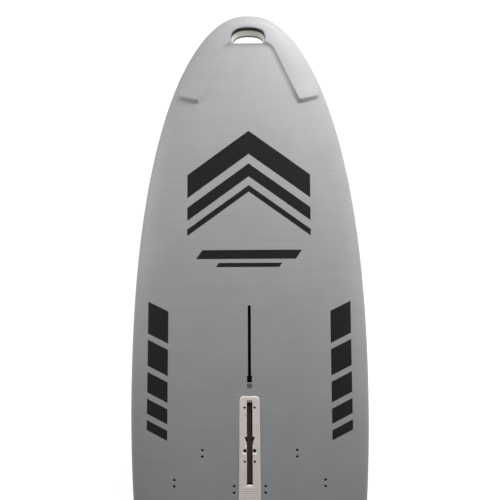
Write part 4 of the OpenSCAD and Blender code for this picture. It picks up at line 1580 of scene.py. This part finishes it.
@dataclass
class NoseGuard:
    """The raised pad that runs round the nose in the shape of a horseshoe."""

    hand_hole: HandHole
    height: float = 0.0075
    inset: float = 0.010
    leg_end: float = 1.0052
    panel_half: float = 0.155
    panel_front_half: float = 0.067
    panel_front: float = 1.1855
    panel_corner: float = 0.032
    end_slope: float = 0.29
    corner: float = 0.014
    heel_corner: float = 0.030
    sink: float = 0.0003
    least: float = 0.00025
    inner_soft: float = 0.0165
    hollow: float = 2.4
    outer_soft: float = 0.016
    outer_fall: float = 0.35
    outer_reach: float = 0.060
    end_soft: float = 0.0135
    end_rise: float = 0.0045
    end_length: float = 0.080
    hole_soft: float = 0.0008
    rings: Sizes = (0.0, 0.0015, 0.004, 0.0065, 0.009, 0.0115, 0.0135, 0.0150, 0.0161, 0.0174,
                    0.0190, 0.0205, 0.0222)
    spacing: float = 0.007

    EDGE_REACH = 0.45
    EDGE_POINTS = 600
    EDGE_SKIP = 6
    EDGE_SLACK = 0.0004
    END_FACING = -0.6
    LINE_STEP = 0.003
    CLOSE_STEP = 0.0006
    HOLE_GAP = 0.0012

    @cached_property
    def board_edge(self) -> Array:
        """Right half of the board's outline in plan at the nose, from the tip.

        Returns:
            Points in plan, close together.
        """
        stations = self.EDGE_REACH * (1 - np.cos(np.linspace(0.0, math.pi / 2, self.EDGE_POINTS)))
        edge = np.stack([LINES.half_width(stations), LINES.length / 2 - stations], axis=1)
        edge[0, 0] = 0.0
        return edge

    @cached_property
    def outline(self) -> Array:
        """Outline of the pad, counter-clockwise.

        Returns:
            Points in plan, with rounded corners.
        """
        edge = self.board_edge[::self.EDGE_SKIP]
        along = np.gradient(edge, axis=0)
        along /= np.linalg.norm(along, axis=1, keepdims=True)
        outer = edge + self.inset * np.stack([along[:, 1], -along[:, 0]], axis=1)
        outer[0] = (0.0, LINES.length / 2 - self.inset)
        rail = float(LINES.half_width(LINES.length / 2 - self.leg_end)) - self.inset
        middle, lean = (self.panel_half + rail) / 2, self.end_slope
        limit = self.leg_end + lean * (outer[:, 0] - middle)
        outer = outer[(outer[:, 1] > limit + self.corner) & (outer[:, 0] >= 0)]
        (x0, y0), (x1, y1) = outer[-1], outer[-2]
        slope = (x0 - x1) / (y0 - y1)
        foot_y = (self.leg_end + lean * (x0 - slope * y0 - middle)) / (1 - lean * slope)
        spread = (self.panel_half - self.panel_front_half) / (self.panel_front - self.leg_end)
        start = self.panel_front_half + spread * self.panel_front
        heel_y = (self.leg_end + lean * (start - middle)) / (1 + lean * spread)
        heel_x = self.panel_front_half + spread * (self.panel_front - heel_y)
        right = [(heel_x, heel_y, self.heel_corner), (x0 + slope * (foot_y - y0), foot_y, self.corner)]
        right += [(x, y, 0.0) for x, y in outer[::-1]]
        left = [(-x, y, r) for x, y, r in right[::-1]][1:]
        crotch = [(side * self.panel_front_half, self.panel_front, self.panel_corner) for side in (-1, 1)]
        return fillet(right + left + crotch)

    @cached_property
    def free_lines(self) -> tuple[Array, Array]:
        """Close points on the outline's inner edges, and on the ends of its legs.

        Returns:
            Points of the inner edges, and of the ends.
        """
        line = resample(self.outline, self.CLOSE_STEP)
        free = nearest(np.abs(line), self.board_edge) > self.inset + self.EDGE_SLACK
        end = (outward(line)[:, 1] < self.END_FACING) & (line[:, 1] < self.leg_end + self.end_length)
        return line[free & ~end], line[free & end]

    def lift(self, x: Array, y: Array) -> Array:
        """Height of the pad over the deck at points in plan.

        Args:
            x: places to the right of the middle.
            y: places along the board.

        Returns:
            Heights: hollow at the inner edges, soft at the outer ones and the ends of the legs.
        """
        plan = np.column_stack([x, y])
        outer = nearest(np.abs(plan), self.board_edge) - self.inset
        inner, end = (nearest(plan, line) for line in self.free_lines)
        share = np.clip(inner / self.inner_soft, 0.0, 1.0) ** self.hollow
        share = share * soft_step(outer / self.outer_soft) * soft_step(end / self.end_soft)
        rise = self.height * (1 - self.outer_fall * (1 - soft_step(outer / self.outer_reach)))
        rise = rise + self.end_rise * (1 - soft_step(end / self.end_length))
        return self.least + (rise - self.least) * share

    def build(self, finishes: Finishes) -> None:
        """Makes the pad, with soft edges and the opening for the hand hole.

        Args:
            finishes: the board's finishes.
        """
        line = resample(self.outline, self.LINE_STEP, False)
        normals = outward(line)
        hole = self.hand_hole.cut()
        hole_edge = hole + self.hole_soft * outward(hole)
        low, high = line.min(axis=0), line.max(axis=0)
        grid = np.stack(np.meshgrid(*(np.arange(a, b, self.spacing) for a, b in zip(low, high))),
                        axis=-1).reshape(-1, 2)
        grid = grid[clear_of(grid, line, self.rings[-1] + self.LINE_STEP)]
        free = np.vstack([line - ring * normals for ring in self.rings[1:]] + [grid])
        free = free[within(free, line) & ~within(free, hole_edge)]
        free = free[clear_of(free, hole_edge, self.HOLE_GAP) & clear_of(free, line, self.CLOSE_STEP)]
        plan, tris, rings = fill([line, hole_edge], [free])
        plan, tris, number = only_used(plan, tris)
        rim, inner = (number[ring] for ring in rings)
        shell = ShellBuilder()
        top = shell.add(LINES.layer(plan, -self.lift(*plan.T), HullFace.DECK))
        under = LINES.layer(plan, self.sink, HullFace.DECK)
        under[inner] = LINES.layer(hole, self.sink, HullFace.DECK)
        base = shell.add(under)
        brink = np.minimum(self.hole_soft - self.lift(*hole.T), 0.0)
        brink = shell.add(LINES.layer(hole, brink, HullFace.DECK))
        shell.triangles(top[tris], False)
        shell.triangles(base[tris], True)
        shell.wall(top[rim], base[rim], False)
        shell.wall(top[inner], brink, True)
        shell.wall(brink, base[inner], True)
        rig = hull_rig("guard_rule", HullFace.DECK, finishes.deck)
        pad = rig.run(shell.mesh("guard_sheet"), "nose_guard_pad")
        smooth(pad, 40.0)
        deliver(pad, Body.BOARD, "deck_grey", "nose_guard")


@dataclass
class RoundedCopy:
    """A copy of a CAD node with its outer edges broken, as a moulded or machined piece has them."""

    node: str
    name: str
    width: float = 0.0008
    segments: int = 2

    LEAST_ANGLE = 40.0
    SHARP_ANGLE = 30.0

    def build(self, material: Material) -> Object:
        """Makes the piece.

        Args:
            material: its finish.

        Returns:
            The piece's object.
        """
        bm = bmesh.new()
        bm.from_mesh(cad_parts[self.node].data)
        bmesh.ops.remove_doubles(bm, verts=bm.verts, dist=MERGE_GAP)
        bmesh.ops.dissolve_limit(bm, angle_limit=math.radians(1.0), verts=bm.verts, edges=bm.edges)
        layer = bm.edges.layers.float.new("bevel_weight_edge")
        for edge in bm.edges:
            angle = 0.0
            if len(edge.link_faces) == 2:
                angle = math.degrees(edge.calc_face_angle_signed(0.0))
            edge[layer] = float(angle > self.LEAST_ANGLE)
            edge.smooth = edge[layer] > 0 or abs(angle) < self.SHARP_ANGLE
        for face in bm.faces:
            face.material_index, face.smooth = 0, True
        mesh = bpy.data.meshes.new(self.name)
        bm.to_mesh(mesh)
        bm.free()
        obj = new_object(self.name, mesh)
        bevel = obj.modifiers.new("edges", "BEVEL")
        bevel.limit_method, bevel.width, bevel.segments = "WEIGHT", self.width, self.segments
        shading = obj.modifiers.new("flats", "WEIGHTED_NORMAL")
        shading.mode, shading.weight, shading.keep_sharp = "FACE_AREA", 100, True
        make_plain(obj)
        obj.data.materials.clear()
        obj.data.materials.append(material)
        return obj


@dataclass
class Cassette:
    """The plate on the deck that the daggerboard swings in, with its screws and plungers."""

    top: float = 0.1325
    ends: Pair = (-0.390, 0.0287)
    halves: Pair = (0.036, 0.0325)
    flange: float = 0.006
    corner: float = 0.014
    rim_drop: float = 0.0024
    rim_side: float = 0.0020
    rim_front: float = 0.0040
    rim_profile: Pairs = ((0.88, 0.04), (0.5, 0.42), (0.14, 0.82), (0.0, 1.0))
    slot_break: float = 0.0004
    end_break: float = 0.0062
    pocket_break: float = 0.0058
    deepest: float = 0.0032
    slot_half: float = 0.0092
    slot_front: float = 0.015
    slot_rear: float = -0.2495
    notch_half: float = 0.0175
    notch_front: float = -0.100
    notch_rear: float = -0.119
    ramp_ys: Sizes = (-0.136, -0.132, -0.128, -0.125, -0.122, -0.117, -0.112)
    ramp_out: Sizes = (0.0, 0.0008, 0.0028, 0.0045, 0.0062, 0.0050, 0.0)
    ramp_back: Sizes = (0.0, 0.0025, 0.0050, 0.0070, 0.0085, 0.0075, 0.0)
    ramp_depth: Sizes = (0.0, 0.0010, 0.0026, 0.0040, 0.0048, 0.0030, 0.0)
    pocket_x: float = 0.0153
    pocket_y: float = -0.144
    pocket_radius: float = 0.0055
    pocket_stretch: float = 1.15
    hole_radius: float = 0.0039
    ridge_size: Point = (0.046, 0.003, 0.0008)
    ridge_start: float = -0.2605
    ridge_pitch: float = 0.007
    ridge_count: int = 10
    screw_x: float = 0.016
    screw_ys: Sizes = (-0.008, -0.178, -0.348)
    head_radius: float = 0.0037
    head_height: float = 0.004
    socket_radius: float = 0.0017
    sunk: float = 0.00595
    shank_radius: float = 0.002
    shank_length: float = 0.016
    shank_break: float = 0.0006
    socket_depth: float = 0.002
    socket_breaks: Pair = (0.0003, 0.0002)
    head_break: float = 0.0005
    turn_seed: int = 7
    end_run: float = 0.003
    ramp_half: float = 0.0130
    least_break: float = 0.0001
    pocket_turn: Pair = (0.2, 1.1)
    front_facing: float = 0.8
    ridge_root: float = 0.0004
    ridge_round: float = 0.00045
    slot_step: float = 0.0025
    rim_step: float = 0.006

    ROUND_BREAK = (0.45, 0.36)
    SCOOPED_BREAK = (0.13, 0.90)
    HOLE_STEPS = 24
    POCKET_STEPS = 36
    CORNER_STEPS = 14
    CENTRE = 1e-5
    SEAM = 1e-5
    LEVEL = 0.9999

    def broken(self, line: Array, up: Array, depth: Array,
               hollow: Value = 0.0) -> list[EdgeRing]:
        """Rings of a broken edge, from the plate's top down.

        Args:
            line: the opening's line.
            up: where the edge meets the plate's top.
            depth: how far down the break reaches, by point.
            hollow: 0 for a rounded break, 1 for a scooped one, by point or for all.

        Returns:
            Points in plan and depths of each ring.
        """
        share, drop = (a + (b - a) * np.broadcast_to(hollow, depth.shape)
                       for a, b in zip(self.ROUND_BREAK, self.SCOOPED_BREAK))
        return [(up, 0 * depth), (line + share[:, None] * (up - line), drop * depth), (line, depth)]

    def slot_edge(self) -> list[EdgeRing]:
        """Edge of the slot and its notch, with ramps behind the notch that lead the pin to its seat.

        Returns:
            Its rings, from the top down.
        """
        half, wide = self.slot_half, self.notch_half
        right = [(half, self.slot_rear), (half, self.notch_rear), (wide, self.notch_front),
                 (half, self.notch_front), (half, self.slot_front)]
        line = resample(np.array(right + [(-x, y) for x, y in right[::-1]]), self.slot_step)
        end = soft_step((self.slot_rear + self.end_run - line[:, 1]) / self.end_run)
        width = self.slot_break + (self.end_break - self.slot_break) * end
        up = line + width[:, None] * outward(line)
        beside = np.abs(line[:, 0]) < self.ramp_half
        beside &= (line[:, 1] < self.ramp_ys[-1]) & (line[:, 1] > self.ramp_ys[0])

        def on_ramp(values: Sizes) -> Array:
            """A ramp's measure at each point of the line, 0 off the ramps."""
            return np.where(beside, np.interp(line[:, 1], self.ramp_ys, values), 0.0)

        up += np.stack([np.sign(line[:, 0]) * on_ramp(self.ramp_out), -on_ramp(self.ramp_back)], axis=1)
        scoop = on_ramp(self.ramp_depth)
        return self.broken(line, up, np.minimum(width, self.deepest) + scoop, scoop / max(self.ramp_depth))

    def pocket_edge(self, side: int) -> list[EdgeRing]:
        """Edge of a pocket, broken widely behind and little beside the slot.

        Args:
            side: -1 for the left pocket, 1 for the right.

        Returns:
            Its rings, from the top down.
        """
        line = circle(0.0, 0.0, self.pocket_radius, self.POCKET_STEPS) * (1.0, self.pocket_stretch)
        aft = -line[:, 1] / self.pocket_radius
        line += (side * self.pocket_x, self.pocket_y)
        room = np.abs(line[:, 0]) - self.slot_half - self.slot_break - self.least_break
        start, turn = self.pocket_turn
        width = self.slot_break + self.pocket_break * soft_step((aft + start) / turn)
        width = np.minimum(width, np.maximum(room, self.least_break))
        return self.broken(line, line + width[:, None] * outward(line), np.minimum(width, self.deepest))

    def hole_edge(self, x: float, y: float) -> list[EdgeRing]:
        """Edge of a screw's hole."""
        line = circle(x, y, self.hole_radius, self.HOLE_STEPS)
        return self.broken(line, line + self.slot_break * outward(line),
                           np.full(self.HOLE_STEPS, self.slot_break))

    def sheet(self, shell: ShellBuilder, loops: list[Array], z: float, flip: bool) -> list[Array]:
        """Adds a flat face with holes.

        Args:
            shell: what the face is added to.
            loops: its outline and its holes.
            z: its height.
            flip: whether it looks down.

        Returns:
            Numbers of the points of each loop.
        """
        flat, tris, rings = fill(loops)
        ids = shell.add(raised(flat, z))
        shell.triangles(ids[tris], flip)
        return [ids[ring] for ring in rings]

    def plate(self) -> Mesh:
        """Mesh of the plate, with the edge of each opening broken by its own width.

        Returns:
            The closed mesh.
        """
        rim = resample(tapered(self.halves, self.ends, self.corner, self.CORNER_STEPS), self.rim_step)
        normals = outward(rim)
        wide = self.rim_side + (self.rim_front - self.rim_side) * soft_step(normals[:, 1] / self.front_facing)
        openings = [self.slot_edge(), self.pocket_edge(-1), self.pocket_edge(1)]
        openings += [self.hole_edge(side * self.screw_x, y) for y, side in product(self.screw_ys, (-1, 1))]
        shell = ShellBuilder()
        top, low = self.top, self.top - self.flange
        crest = rim - wide[:, None] * normals
        upper = self.sheet(shell, [crest] + [rings[0][0] for rings in openings], top, False)
        lower = self.sheet(shell, [rim] + [rings[-1][0] for rings in openings], low, True)
        last = upper[0]
        for share, drop in self.rim_profile:
            plan = rim - (wide * share)[:, None] * normals
            ring = shell.add(raised(plan, top - self.rim_drop * drop))
            shell.wall(last, ring, False)
            last = ring
        shell.wall(last, lower[0], False)
        for rings, last, foot in zip(openings, upper[1:], lower[1:]):
            for plan, depth in rings[1:]:
                ring = shell.add(raised(plan, top - depth))
                shell.wall(last, ring, True)
                last = ring
            shell.wall(last, foot, True)
        return shell.mesh("plate_top")

    def ridge(self) -> Mesh:
        """Mesh of one ridge of the foot patch, with soft upper edges.

        Returns:
            The closed mesh.
        """
        (wide, long, high), root = self.ridge_size, self.ridge_root
        bm = bmesh.new()
        bmesh.ops.create_cube(bm, size=1.0)
        for v in bm.verts:
            v.co = (v.co.x * wide, v.co.y * long, v.co.z * (high + root) + (high - root) / 2)
        edges = [e for e in bm.edges if max(v.co.z for v in e.verts) > high / 2]
        bmesh.ops.bevel(bm, geom=edges, offset=self.ridge_round, segments=3, profile=0.5, affect="EDGES")
        mesh = bpy.data.meshes.new("ridge")
        bm.to_mesh(mesh)
        bm.free()
        return mesh

    def body_below(self, mesh: Mesh) -> None:
        """Adds the part of the cassette under its flange to the plate's mesh.

        Args:
            mesh: the plate's mesh.
        """
        cut = self.top - self.flange - self.SEAM
        bm = bmesh.new()
        bm.from_mesh(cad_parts["cassette"].data)
        bmesh.ops.remove_doubles(bm, verts=bm.verts, dist=MERGE_GAP)
        found = bmesh.ops.bisect_plane(bm, geom=bm.verts[:] + bm.edges[:] + bm.faces[:],
                                       plane_co=(0, 0, cut), plane_no=(0, 0, 1), clear_outer=True)
        edges = [item for item in found["geom_cut"] if isinstance(item, BMEdge)]
        bmesh.ops.triangle_fill(bm, use_beauty=True, edges=edges, normal=(0.0, 0.0, 1.0))
        bmesh.ops.dissolve_degenerate(bm, dist=SLIVER_GAP, edges=bm.edges)
        bm.from_mesh(mesh)
        for face in bm.faces:
            face.material_index = 0
        bm.to_mesh(mesh)
        bm.free()

    def screw(self) -> Mesh:
        """Mesh of one cap screw with a hexagon socket, its shoulder at the origin.

        Returns:
            The closed mesh.
        """
        sixth = math.pi / 6
        turn = np.arange(self.HOLE_STEPS) * 2 * math.pi / self.HOLE_STEPS
        hexagon = math.cos(sixth) / np.cos((turn + sixth) % (2 * sixth) - sixth)
        top, foot, broken = self.head_height, -self.shank_length, self.head_break
        bed, key, soft = top - self.socket_depth, self.socket_radius * hexagon, 0.15 * broken
        head, shank, wide = self.head_radius, self.shank_radius, self.socket_radius + self.socket_breaks[0]
        profile = [(self.CENTRE, bed), (key, bed), (key, top - self.socket_breaks[1]), (wide, top),
                   (head - broken, top), (head - soft, top - soft), (head, top - broken), (head, 0.0),
                   (shank, 0.0), (shank, foot + self.shank_break), (shank - self.shank_break, foot),
                   (self.CENTRE, foot)]
        shell = ShellBuilder()
        rings = [shell.add(raised(np.column_stack([radius * np.cos(turn), radius * np.sin(turn)]), z))
                 for radius, z in profile]
        for upper, lower in zip(rings, rings[1:]):
            shell.wall(upper, lower, False)
        shell.cap(rings[0])
        shell.cap(rings[-1][::-1])
        return shell.mesh("cap_screw")

    def build(self, finishes: Finishes) -> None:
        """Makes the plate with its ridges, its screws and the plungers.

        Args:
            finishes: the board's finishes.
        """
        mesh = self.plate()
        self.body_below(mesh)
        rig = NodeRig("foot_ridges")
        bar = new_object("ridge_template", self.ridge())
        step = rig.node("ShaderNodeCombineXYZ", Y=rig.number("Pitch", self.ridge_pitch) * -1.0)
        row = rig.node("GeometryNodeMeshLine", Count=rig.input("Count", "NodeSocketInt", self.ridge_count),
                       Start_Location=(0.0, self.ridge_start, self.top), Offset=step.outputs[0])
        bars = rig.copies("Ridge", bar, row.outputs[0])
        rig.finish(rig.joined(bars, rig.entry.outputs[0]), finishes.cassette)
        plate = rig.run(mesh, "cassette_plate")
        bpy.data.objects.remove(bar)
        smooth(plate, 34.0)
        for face in plate.data.polygons:
            face.use_smooth = face.normal.z < self.LEVEL
        deliver(plate, Body.BOARD, "cassette_white", "cassette")

        rig = NodeRig("screw_rows")
        template = new_object("screw_template", self.screw())
        turn = rig.node("FunctionNodeRandomValue", {"data_type": "FLOAT_VECTOR"}, Min=(0.0, 0.0, 0.0),
                        Max=(0.0, 0.0, math.pi))
        next(s for s in turn.inputs if s.name == "Seed").default_value = self.turn_seed
        rig.finish(rig.copies("Screw", template, rig.entry.outputs[0], Rotation=turn.outputs[0]),
                   finishes.dark_steel)
        points = bpy.data.meshes.new("screw_places")
        points.from_pydata([(side * self.screw_x, y, self.top - self.sunk)
                            for y, side in product(self.screw_ys, (-1, 1))], [], [])
        screws = rig.run(points, "cassette_screw_set")
        bpy.data.objects.remove(template)
        smooth(screws, 35.0)
        deliver(screws, Body.BOARD, "dark_steel", "cassette_screws")
        plungers = RoundedCopy("pin_plungers", "pin_plunger_pair", 0.0006).build(finishes.silted)
        deliver(plungers, Body.BOARD, "black_plastic", "pin_plungers")


@dataclass
class Daggerboard:
    """The swinging daggerboard: a blade of foil section, its head and lever."""

    pivot_y: float = -0.144
    pivot_z: float = 0.104
    leading: float = 0.098
    trailing: float = 0.01225
    taper: float = 0.026
    reach: float = 0.560
    tip: float = 0.070
    root: float = 0.0222
    thickness: float = 0.015
    least_half: float = 0.0004
    tongue_half: float = 0.003
    tongue_front: float = 0.034
    tongue_near: float = 0.024
    tongue_far: float = 0.082
    nose_reach: float = 0.0025
    nose_start: float = -0.020
    nose_length: float = 0.022
    around: int = 65
    along: int = 61
    tongue_overlap: float = 0.006

    FOIL = (0.2969, 0.126, 0.3516, 0.2843, 0.1036)
    ROW_POWER = 1.8
    TIP_GAP = 0.0005
    TIP_LEANS = (0.55, 0.45)
    TIP_SHARE = 0.25
    BLUNTNESS = 12.0
    WELD = 1e-5

    def blade_rig(self, material: Material) -> NodeRig:
        """Makes the tree that shapes the blade by its foil and outline, and adds its tongue.

        Args:
            material: the blade's finish.

        Returns:
            The tree.
        """
        rig = NodeRig("blade_rule")
        reach, thickness, leading, trailing, tip, root = (rig.number(name, size) for name, size in (
            ("Reach", self.reach), ("Thickness", self.thickness), ("Leading edge", self.leading),
            ("Trailing edge", self.trailing), ("Tip length", self.tip), ("Root", self.root)))
        grid = rig.node("GeometryNodeMeshGrid", Size_X=1.0, Size_Y=1.0, Vertices_X=self.around,
                        Vertices_Y=self.along).outputs[0]
        px, py, _ = rig.position()
        angle = (px + 0.5) * (2 * math.pi)
        row = (py + 0.5) * (self.along - 1.0)
        share = smaller(larger((row - 1.0) / (self.along - 3.0), 0.0), 1.0)
        open_row = smaller(smaller(larger(row, 0.0), larger(self.along - 1.0 - row, 0.0)), 1.0)
        u = root + (reach - root - self.TIP_GAP) * (1.0 - (1.0 - share) ** self.ROW_POWER)
        past = larger((u - reach + tip) / tip, 0.0)
        rounding = larger(1.0 - past * past, 0.0) ** 0.5
        edge = trailing - self.taper * smaller(larger(u, 0.0) / (reach - tip), 1.0)
        chord = leading + edge
        le, te = (side - (1.0 - rounding) * lean * chord
                  for side, lean in zip((leading, edge), self.TIP_LEANS))
        c = (1.0 - cosine(angle)) * 0.5
        k0, k1, k2, k3, k4 = self.FOIL
        foil = 5.0 * thickness * (k0 * larger(c, 0.0) ** 0.5 - k1 * c - k2 * c * c
                                  + k3 * c * c * c - k4 * c * c * c * c)
        half = larger(foil * (self.TIP_SHARE + (1 - self.TIP_SHARE) * rounding), self.least_half)
        blunt = smaller(magnitude(sine(angle)) * self.BLUNTNESS, 1.0)
        x = sign_of(sine(angle)) * half * blunt * open_row
        shaped = rig.placed(grid, (x, self.pivot_y - u, self.pivot_z - le + c * (le + te)))
        merged = rig.node("GeometryNodeMergeByDistance", Geometry=shaped, Distance=self.WELD).outputs[0]
        back = self.root + self.tongue_overlap
        size = (2 * self.tongue_half, self.tongue_front + back, self.tongue_far - self.tongue_near)
        cube = rig.node("GeometryNodeMeshCube", Size=size).outputs[0]
        centre = (0.0, self.pivot_y + (self.tongue_front - back) / 2,
                  self.pivot_z - (self.tongue_far + self.tongue_near) / 2)
        tongue = rig.node("GeometryNodeTransform", Geometry=cube, Translation=centre).outputs[0]
        rig.finish(rig.joined(tongue, merged), material)
        return rig

    def lengthen(self, mesh: Mesh) -> None:
        """Draws the grip's nose forward, so that it all but closes the slot's front end.

        Args:
            mesh: the grip's mesh.
        """
        spots = np.empty(len(mesh.vertices) * 3, np.float32)
        mesh.vertices.foreach_get("co", spots)
        spots = spots.reshape(-1, 3)
        spots[:, 1] += self.nose_reach * soft_step((spots[:, 1] - self.nose_start) / self.nose_length)
        mesh.vertices.foreach_set("co", spots.ravel())
        mesh.update()

    def build(self, finishes: Finishes) -> None:
        """Makes the blade, head, lever grip and the small parts that hold them.

        Args:
            finishes: the board's finishes.
        """
        blade = self.blade_rig(finishes.brown).run(bpy.data.meshes.new("blade_start"), "dagger_blade")
        bm = bmesh.new()
        bm.from_mesh(blade.data)
        bmesh.ops.dissolve_degenerate(bm, dist=SLIVER_GAP, edges=bm.edges)
        bmesh.ops.recalc_face_normals(bm, faces=bm.faces)
        bm.to_mesh(blade.data)
        bm.free()
        smooth(blade, 40.0)
        deliver(blade, Body.DAGGERBOARD, "brown_plastic", "daggerboard_blade")
        for node, name, width, material, slot in (
                ("daggerboard_head", "dagger_head", 0.0016, finishes.brown, "brown_plastic"),
                ("lever_cap", "lever_grip", 0.0022, finishes.grip, "rubber_black"),
                ("pivot_pin", "pivot_rod", 0.0007, finishes.steel, "steel"),
                ("head_bolts", "head_bolt_pair", 0.0003, finishes.steel, "steel"),
                ("head_nuts", "head_nut_pair", 0.0003, finishes.steel, "steel")):
            piece = RoundedCopy(node, name, width, 3).build(material)
            if node == "lever_cap":
                self.lengthen(piece.data)
            deliver(piece, Body.DAGGERBOARD, slot, node)


@dataclass
class SlotLips:
    """The two rubber lips that close the daggerboard's slot in the bottom."""

    outer: float = 0.01775
    level: float = 0.002
    middle: float = -0.38
    keep: float = 0.3

    def build(self, finishes: Finishes) -> None:
        """Makes the lips as copies of the CAD's, with their edges broken.

        Args:
            finishes: the board's finishes.
        """
        for side, node, name in ((-1, "slot_lip_left", "lip_left"), (1, "slot_lip_right", "lip_right")):
            lip = RoundedCopy(node, name, 0.0006, 2).build(finishes.rubber)
            deliver(lip, Body.BOARD, "rubber_black", node)
            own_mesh(lip)


@dataclass
class Fittings:
    """Small fittings that keep the CAD's shape, with their edges broken or as they are."""

    def build(self, finishes: Finishes) -> None:
        """Makes the vent plug, fin box and track, and dresses the CAD nodes that stay.

        Args:
            finishes: the board's finishes.
        """
        for node, name, width, body, material, slot in (
                ("vent_screw", "vent_plug_head", 0.0005, Body.VENT_PLUG, finishes.grey, "grey_plastic"),
                ("fin_box", "fin_box_body", 0.0007, Body.BOARD, finishes.black, "black_plastic"),
                ("mast_track", "mast_track_body", 0.0005, Body.BOARD, finishes.black, "black_plastic"),
                ("daggerboard_well", "well_body", 0.0007, Body.BOARD, finishes.pale, "pale_plastic")):
            piece = RoundedCopy(node, name, width, 2).build(material)
            deliver(piece, body, slot, node)
        kept = {
            "foam_core": finishes.foam, "track_block": finishes.dense_foam, "fin_block": finishes.dense_foam,
            "vent_bush": finishes.brass, "well_inserts": finishes.brass, "vent_seal": finishes.rubber,
            "down_stop": finishes.rubber, "stow_pad": finishes.rubber,
            "front_strap_plugs": finishes.black, "rear_strap_plugs": finishes.black,
            "friction_washers": finishes.leather,
        }
        for node, material in kept.items():
            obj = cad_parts[node]
            for slot in obj.material_slots:
                slot.material = material
            LOG.info("%s: CAD node, finish %s", node, material.name)


@dataclass(frozen=True)
class SoftLamp:
    """A square soft box, out of the camera's sight."""

    name: str
    place: Point
    aim: Point
    size: float
    power: float

    def build(self) -> None:
        """Hangs the lamp at its place and turns it to its aim."""
        data = bpy.data.lights.new(self.name, "AREA")
        data.shape, data.size, data.energy = "SQUARE", self.size, self.power
        obj = bpy.data.objects.new(self.name, data)
        turn = (Vector(self.aim) - Vector(self.place)).to_track_quat("-Z", "Y").to_matrix().to_4x4()
        obj.matrix_world = Matrix.Translation(self.place) @ turn
        obj.visible_camera = False
        bpy.context.scene.collection.objects.link(obj)


@dataclass
class Studio:
    """Camera, lights, background and floor."""

    lens: float = 57.6
    place: Point = (0.0337, 0.1363, 2.7555)
    tilt: float = 8.0
    yaw: float = 0.663
    roll: float = -0.223
    lamps: tuple[SoftLamp, ...] = (
        SoftLamp("lamp_front", (0.48, 1.72, 0.95), (0.0, 0.30, 0.1), 0.6, 20.7),
        SoftLamp("lamp_left", (-1.40, 0.90, 0.70), (0.0, 0.90, 0.1), 0.8, 10.5),
        SoftLamp("lamp_right", (1.40, 0.68, 0.70), (0.0, 0.68, 0.1), 0.8, 7.2),
        SoftLamp("lamp_tail", (0.0, -1.35, 0.75), (0.0, -1.30, 0.0), 0.5, 0.9))
    fill_strength: float = 0.17
    floor_level: float = -0.004
    floor_size: float = 30.0
    floor_shade: float = 0.86
    floor_glow: float = 0.72
    floor_clear: float = 0.6
    sensor: float = 36.0

    def camera(self) -> None:
        """Sets the camera at the photograph's view."""
        data = bpy.data.cameras.new("view")
        data.lens, data.sensor_width = self.lens, self.sensor
        obj = bpy.data.objects.new("view", data)
        turn = Matrix.Identity(4)
        for angle, axis in ((self.yaw, "Y"), (self.tilt, "X"), (self.roll, "Z")):
            turn = turn @ Matrix.Rotation(math.radians(angle), 4, axis)
        obj.matrix_world = Matrix.Translation(self.place) @ turn
        bpy.context.scene.collection.objects.link(obj)
        bpy.context.scene.camera = obj

    def seen(self, builder: TreeBuilder) -> Field:
        """Says whether a ray comes from the camera, a reflection or a refraction.

        Args:
            builder: the tree that the answer is for.

        Returns:
            1 for such a ray, and 0 for others.
        """
        path = builder.node("ShaderNodeLightPath")
        camera, glossy, through = (Field(builder.tree, path.outputs[f"Is {kind} Ray"])
                                   for kind in ("Camera", "Glossy", "Transmission"))
        return larger(larger(camera, glossy), through)

    def world(self) -> None:
        """Makes the background white to the eye, and a soft even fill on the object."""
        world = bpy.data.worlds.new("studio")
        world.use_nodes = True
        builder = TreeBuilder(world.node_tree)
        strength = builder.span(self.seen(builder), 0.0, 1.0, self.fill_strength, 1.0)
        builder.connect(world.node_tree.nodes["Background"], Color=(1.0, 1.0, 1.0), Strength=strength)
        bpy.context.scene.world = world

    def floor(self) -> None:
        """Lays a white floor that keeps the shadow and lets a lowered daggerboard show."""
        half, z = self.floor_size / 2, self.floor_level
        mesh = bpy.data.meshes.new("floor")
        mesh.from_pydata([(-half, -half, z), (half, -half, z), (half, half, z), (-half, half, z)], [],
                         [(0, 1, 2, 3)])
        floor = new_object("floor", mesh)
        sheet = Shader("floor_white")
        glow = sheet.span(self.seen(sheet), 0.0, 1.0, 0.0, self.floor_glow)
        sheet.connect(sheet.surface, Base_Color=(self.floor_shade,) * 3, Roughness=1.0,
                      Specular_IOR_Level=0.0, Emission_Color=(1.0, 1.0, 1.0), Emission_Strength=glow)
        sight = sheet.node("ShaderNodeLightPath").outputs["Is Camera Ray"]
        clear = sheet.node("ShaderNodeBsdfTransparent").outputs[0]
        blend = sheet.node("ShaderNodeMixShader")
        share = sheet.span(sight, 0.0, 1.0, 0.0, self.floor_clear)
        for socket, value in zip(blend.inputs, (share, sheet.surface.outputs[0], clear)):
            feed(sheet.tree, socket, value)
        sheet.connect(sheet.tree.nodes["Material Output"], Surface=blend.outputs[0])
        mesh.materials.append(sheet.material)

    def build(self) -> None:
        """Sets up the whole studio."""
        bpy.context.scene.view_settings.view_transform = "Standard"
        self.camera()
        for lamp in self.lamps:
            lamp.build()
        self.world()
        self.floor()


def main() -> None:
    """Builds the board piece by piece and the studio round it."""
    logging.basicConfig(level=logging.INFO, format="%(name)s: %(message)s")
    Studio().build()
    finishes = Finishes()
    hand_hole = HandHole()
    guard = NoseGuard(hand_hole)
    Hull(hand_hole, DeckPrint()).build(finishes)
    guard.build(finishes)
    hand_hole.build(finishes, guard.lift)
    Cassette().build(finishes)
    Daggerboard().build(finishes)
    SlotLips().build(finishes)
    Fittings().build(finishes)


if __name__ == "__main__":
    main()
